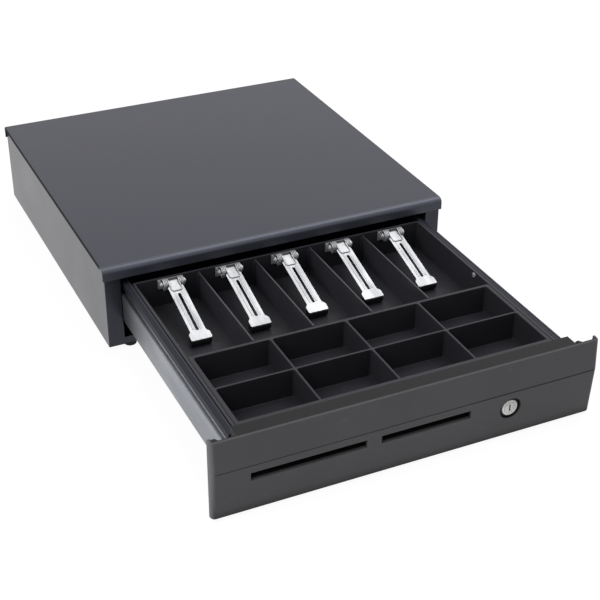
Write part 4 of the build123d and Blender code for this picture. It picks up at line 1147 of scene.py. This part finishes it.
# The coin tray: one lift-out moulding in the same black plastic, two rows of four cups whose
# front walls are scooped so that coins slide up under a finger.
coin_columns = 4
coin_rows = 2
coin_side_wall = 4.5 * mm
coin_front_wall = 7.3 * mm
coin_back_wall = 3.7 * mm
coin_divider = 2.4 * mm
coin_scoop = 12 * mm
cup_corner = 2.5 * mm
coin_low, coin_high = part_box("coin_tray")
cup_half = coin_high.x - coin_side_wall
cups_front = coin_low.y + coin_front_wall
cups_back = coin_high.y - coin_back_wall
cup_width = (2 * cup_half - (coin_columns - 1) * coin_divider) / coin_columns
cup_depth = (cups_back - cups_front - (coin_rows - 1) * coin_divider) / coin_rows
coin_tray = block(coin_low, coin_high, "coin_cups")
cup_low = Vector((-cup_half, cups_front, coin_low.z + till_floor))
cup_high = cup_low + Vector((cup_width, cup_depth, 0))
cup_high.z = coin_high.z + tool_run
cup = block(cup_low, cup_high)
round_edges(cup, coin_scoop, 10, lying(along="x", y=cup_low.y, z=cup_low.z))
round_edges(cup, cup_corner, 4, lying(along="z", y=cup_high.y))
for row in range(coin_rows):
    for column in range(coin_columns):
        move = (column * (cup_width + coin_divider), row * (cup_depth + coin_divider), 0)
        cut(coin_tray, copy_of(cup, "cup_space", move))
bpy.data.objects.remove(cup)
soften(coin_tray, till_edge, 3)
coin_plastic = moulded_plastic(
    "coin_plastic", colour="212125", pale_colour="404046", roughness=0.42, gloss=0.18, wear_and_highlight=rim_wear
)
coat(coin_tray, coin_plastic)
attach(coin_tray, "till")
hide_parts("coin_tray")

# The note dividers: four thin flat plates moulded in a glossier black plastic, with rounded tops.
# They slide down into the guides of the till and lift out again for wider notes.
divider_round = 0.7 * mm
divider_edge = 0.2 * mm
plates = []
for x in divider_places:
    low = (x - divider_thickness / 2, divider_low.y, divider_low.z)
    plate = block(low, (x + divider_thickness / 2, divider_high.y, divider_high.z))
    round_edges(plate, divider_round, 3, lying(z=divider_high.z))
    plates.append(plate)
dividers = gathered("dividers", plates)
soften(dividers, divider_edge)
divider_plastic = moulded_plastic(
    "divider_plastic",
    colour="222126",
    pale_colour="4a4850",
    roughness=0.32,
    gloss=0.5,
    grain_size=0.8 * mm,
    wear_and_highlight=rim_wear,
)
coat(dividers, divider_plastic)
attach(dividers, "till")
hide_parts("note_dividers")

# The rivets: one domed head of zinc-plated steel on the inside of each side wall of the till, near
# its top, pressed flat against the plastic.
rivet_head = 1.4 * mm
rivet_round = 0.85 * rivet_head
rivet_edge = 0.05 * mm
rivet_low, rivet_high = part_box("till_rivets")
rivet_radius = (rivet_high.y - rivet_low.y) / 2
rivet_y = (rivet_low.y + rivet_high.y) / 2
rivet_z = (rivet_low.z + rivet_high.z) / 2
domes = []
for side in (-1, 1):
    inner = (side * (bay_half - rivet_head), rivet_y, rivet_z)
    dome = rod(rivet_radius, inner, (side * bay_half, rivet_y, rivet_z), small_sides)
    round_edges(dome, rivet_round, 6, lying(x=bay_half - rivet_head))
    domes.append(dome)
rivets = gathered("rivets", domes)
soften(rivets, rivet_edge)
coat(rivets, zinc_steel)
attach(rivets, "till")
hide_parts("till_rivets")

# The note clips: a stamped arm of bright steel with a long slot, hinged on a pin in a bracket that
# is riveted to the till's back wall. A wire spring coiled on both sides of the arm's root presses
# it down, and a soft plastic bar under its broad end holds the notes.
arm_length = 88 * mm
arm_width = 17 * mm
arm_sheet = 1.2 * mm
neck_width = 9.5 * mm
neck_length = 8 * mm
end_width = 23 * mm
end_length = 9 * mm
flare_length = 3 * mm
arm_corner = 1.5 * mm
arm_edge = 0.2 * mm
arm_slot_width = 3.4 * mm
arm_slot_round = 0.48 * arm_slot_width
arm_slot_start = 19 * mm
arm_slot_end_gap = 1 * mm
bead_width = 2.2 * mm
bead_height = 0.5 * mm
bead_round = 0.6 * mm
bead_end_round = 0.4 * bead_width
bead_gap = 1.1 * mm
pin_play = 0.05 * mm
knuckle_wall = 1.25 * mm
pad_width = 22.4 * mm
pad_depth = 8.5 * mm
pad_height = 8 * mm
pad_round = 2.2 * mm
pad_edge = 0.4 * mm
pad_groove = 1 * mm
pad_grooves = 3
flat_angle = radians(1)
rest_gap = 0.3 * mm
pins_low, pins_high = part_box("clip_pins")
pin_radius = (pins_high.z - pins_low.z) / 2
pin_y = (pins_low.y + pins_high.y) / 2
pin_z = (pins_low.z + pins_high.z) / 2
knuckle_radius = pin_radius + pin_play + knuckle_wall
arm_bottom = knuckle_radius - arm_sheet
pad_front = -arm_length - arm_sheet / 2
pad_bottom = arm_bottom - pad_height
clip_drop = pin_z - bay_floor - rest_gap
rest_tilt = asin(clip_drop / hypot(pad_front, pad_bottom)) - atan2(-pad_bottom, -pad_front)
coat_nodes(bright_steel, "clip_brackets", "clip_pins")

flare_start = -arm_length + end_length + flare_length
arm_start = flare_start - flare_length
arm = block((-arm_width / 2, arm_start, arm_bottom), (arm_width / 2, -neck_length, knuckle_radius))
neck_low = (-neck_width / 2, -neck_length - tool_run, arm_bottom)
weld(arm, block(neck_low, (neck_width / 2, 0, knuckle_radius)))
broad_end = block(
    (-end_width / 2, -arm_length, arm_bottom),
    (end_width / 2, flare_start, knuckle_radius),
)
divide(broad_end, "y", arm_start)
choose(broad_end, "EDGE", lying(along="x", y=flare_start))
bpy.ops.transform.resize(value=((arm_width - 2 * worn_edge) / end_width, 1, 1))
close_editing()
weld(arm, broad_end)
choose_all(arm)
bpy.ops.mesh.dissolve_limited(angle_limit=flat_angle)
close_editing()
arm_side = arm_width / 2 - worn_edge
round_edges(arm, arm_corner, 4, lambda edge: runs(edge, "z") and abs(middle(edge).x) > arm_side)
arm_slot = block(
    (-arm_slot_width / 2, flare_start + arm_slot_end_gap, arm_bottom - tool_run),
    (arm_slot_width / 2, -arm_slot_start, knuckle_radius + tool_run),
)
round_edges(arm_slot, arm_slot_round, 5, lying(along="z"))
cut(arm, arm_slot)
bead_start = arm_slot_width / 2 + bead_gap
bead_top = knuckle_radius + bead_height
for side in (-1, 1):
    near_x, far_x = across(side, bead_start, bead_start + bead_width)
    bead = block(
        (near_x, flare_start + bead_width, knuckle_radius - arm_sheet / 2),
        (far_x, -arm_slot_start + bead_width, bead_top),
    )
    round_edges(bead, bead_end_round, 3, lying(along="z"))
    round_edges(bead, bead_round, 3, lying(z=bead_top))
    weld(arm, bead)


def hinge_rod(radius, half_length):
    """A round bar on the axis of the clip's hinge."""
    return rod(radius, (-half_length, 0, 0), (half_length, 0, 0), small_sides)


weld(arm, hinge_rod(knuckle_radius + pin_play, neck_width / 2 + 4 * pin_play))
cut(arm, hinge_rod(pin_radius + pin_play, arm_width))
soften(arm, arm_edge)

pad = block((-pad_width / 2, pad_front, pad_bottom), (pad_width / 2, pad_front + pad_depth, arm_bottom))
round_edges(pad, pad_round, 5, lying(along="x", z=pad_bottom))
groove_pitch = (pad_depth - 2 * pad_round) / pad_grooves
for index in range(pad_grooves):
    groove_y = pad_front + pad_round + (index + 0.5) * groove_pitch
    groove = block(
        (-pad_width, groove_y - pad_groove / 2, pad_bottom - tool_run),
        (pad_width, groove_y + pad_groove / 2, pad_bottom + pad_groove / 2),
    )
    cut(pad, groove)
soften(pad, pad_edge)

wire_radius = 0.6 * mm
coil_radius = 6 * mm
turn_gap = 0.48 * mm
coil_side_gap = 0.5 * mm
pin_setback = 9.5 * mm
leg_gap = 0.3 * mm
lead_gap = 0.1 * mm
whole_turns = 3
points_a_turn = 28
bend_points = 6
wire_facets = 3
coil_start = radians(35) - rest_tilt
coil_finish = 2 * pi * whole_turns + radians(120)
landing_reach = 9 * mm
bridge_reach = 15 * mm
wire_bend = 2.5 * mm
coil_inner_x = neck_width / 2 + coil_side_gap + wire_radius
coil_pitch = 2 * wire_radius + turn_gap
coil_outer_x = coil_inner_x + coil_pitch * (coil_finish - coil_start) / (2 * pi)
leg_length = sqrt((pin_setback - arm_sheet - leg_gap) ** 2 - (coil_radius + wire_radius) ** 2)
lead_z = knuckle_radius + lead_gap + wire_radius


def drawn_wire(name, points, radius):
    """A round wire through points, with closed ends."""
    curve = bpy.data.curves.new(name, "CURVE")
    curve.dimensions = "3D"
    curve.bevel_depth = radius
    curve.bevel_resolution = wire_facets
    curve.use_fill_caps = True
    spline = curve.splines.new("POLY")
    spline.points.add(len(points) - 1)
    for place, point in zip(spline.points, points):
        place.co = (*point, 1)
    wire = bpy.data.objects.new(name, curve)
    scene.collection.objects.link(wire)
    work_on(wire)
    bpy.ops.object.convert(target="MESH")
    choose_all(wire)
    bpy.ops.mesh.remove_doubles(threshold=radius / 1000)
    bpy.ops.mesh.normals_make_consistent(inside=False)
    close_editing()
    bpy.ops.object.shade_smooth_by_angle(angle=smooth_angle)
    return wire


def turns(start, finish, radius, low_x, high_x):
    """Points of a coil round the X axis, between two angles and two ends."""
    count = int(points_a_turn * (finish - start) / (2 * pi)) + 1
    for index in range(count + 1):
        share = index / count
        angle = start + share * (finish - start)
        yield Vector((low_x + share * (high_x - low_x), radius * cos(angle), radius * sin(angle)))


def eased(start, start_pull, end_pull, end):
    """Points of a smooth bend between two ends, without the first."""
    for index in range(1, bend_points + 1):
        share = index / bend_points
        rest = 1 - share
        bend = 3 * rest * rest * share * start_pull + 3 * rest * share * share * end_pull
        yield rest**3 * start + bend + share**3 * end


left_coil = list(turns(coil_start, coil_finish, coil_radius, -coil_outer_x, -coil_inner_x))
leg_way = (left_coil[1] - left_coil[0]).normalized()
lead_way = (left_coil[-1] - left_coil[-2]).normalized()
landing = Vector((-coil_inner_x, -landing_reach, lead_z))
corner = Vector((-coil_inner_x, -bridge_reach, lead_z))
bend_start = corner + Vector((0, wire_bend, 0))
bend_end = corner + Vector((wire_bend, 0, 0))
left_half = [left_coil[0] - leg_way * leg_length, *left_coil]
lead_pull = left_coil[-1] + lead_way * wire_bend
left_half += eased(left_coil[-1], lead_pull, landing + Vector((0, wire_bend, 0)), landing)
left_half += [bend_start]
left_half += eased(bend_start, (bend_start + corner) / 2, (corner + bend_end) / 2, bend_end)
right_half = [Vector((-point.x, point.y, point.z)) for point in reversed(left_half)]
spring = drawn_wire("spring", left_half + right_half, wire_radius)

pad_plastic = moulded_plastic(
    "pad_plastic", colour="17171a", pale_colour="3a3a3f", roughness=0.6, gloss=0.3, grain_size=0.6 * mm
)
clip_parts = ((arm, "arm", bright_steel), (pad, "pad", pad_plastic), (spring, "spring", bright_steel))
laid_down = Matrix.Rotation(rest_tilt, 4, "X")
for index, x in enumerate(spread(note_bays)):
    place = Matrix.Translation((x, pin_y, pin_z)) @ laid_down
    for part, kind, material in clip_parts:
        piece = copy_of(part, f"note_clip_{kind}_{index + 1}")
        piece.data.transform(place)
        coat(piece, material)
        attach(piece, f"clip_{index + 1}")
        "pad_plastic" if kind == "pad" else "spring_steel"
        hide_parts(f"clip_{kind}_{index + 1}")
for part, _, _ in clip_parts:
    bpy.data.objects.remove(part)

# The release at the back of the case: a solenoid pulls a plunger, the plunger turns the latch
# lever off the strike pin, and a sprung rod pushes the drawer out. Plated steel, screwed to the
# base, with a wound coil under yellow tape.
winding_pitch = 0.9 * mm
tape_thickness = 0.15 * mm
plunger_wire = 0.4 * mm
plunger_turns = 5
push_wire = 0.7 * mm
push_turns = 6
coat_nodes(zinc_steel, "strike_plate", "latch_bracket", "latch_lever", "solenoid_frame")
coat_nodes(zinc_steel, "push_bracket", "push_rod")
coat_nodes(bright_steel, "latch_pin", "solenoid_plunger")
winding = Finish(bpy.data.materials.new("coil_tape"))
wrap = winding.math("SINE", winding.along("x") * (2 * pi / winding_pitch))
turn_marks = winding.rise(wrap, -0.2, 0.9)
tape_cloud = winding.noise(per_metre=160, detail=3)
coil_tape = winding.surface(
    {
        "Base Color": winding.mixed(tape_cloud * 0.4, tint("c9a03a"), tint("9b7524")),
        "Roughness": tape_cloud * 0.2 + 0.35,
        "Normal": winding.bump(turn_marks, tape_thickness, strength=0.5),
    }
)
coat_nodes(coil_tape, "solenoid_coil")
jack_plastic = moulded_plastic(
    "jack_plastic", colour="1f1f21", pale_colour="3c3c40", roughness=0.5, gloss=0.4
)
coat_nodes(jack_plastic, "port_jack")
lead_sheath = moulded_plastic(
    "lead_sheath", colour="202022", pale_colour="38383b", roughness=0.6, gloss=0.3, grain_size=0.9 * mm
)
coat_nodes(lead_sheath, "solenoid_lead")
travels = {joint["name"]: joint.get("range_m") for joint in frame["record"]["behaviour"]["joints"]}
for node, joint, axis, wire, count in (
    ("plunger_spring", "plunger_slide", 0, plunger_wire, plunger_turns),
    ("push_spring", "push_slide", 1, push_wire, push_turns),
):
    low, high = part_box(node)
    centre = (low + high) / 2
    half_length = (high[axis] - low[axis]) / 2 - wire
    radius = (high.z - low.z) / 2 - wire
    coil_points = turns(0, 2 * pi * count, radius, -half_length, half_length)
    coil = drawn_wire("wound_" + node, list(coil_points), wire)
    if axis == 1:
        coil.data.transform(Matrix.Rotation(pi / 2, 4, "Z"))
    coil.data.transform(Matrix.Translation(centre))
    coat(coil, bright_steel)
    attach(coil, "cabinet")
    travel = max(abs(limit) for limit in travels[joint])
    1 - travel / (high[axis] - low[axis])
    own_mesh(coil)
    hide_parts(node)
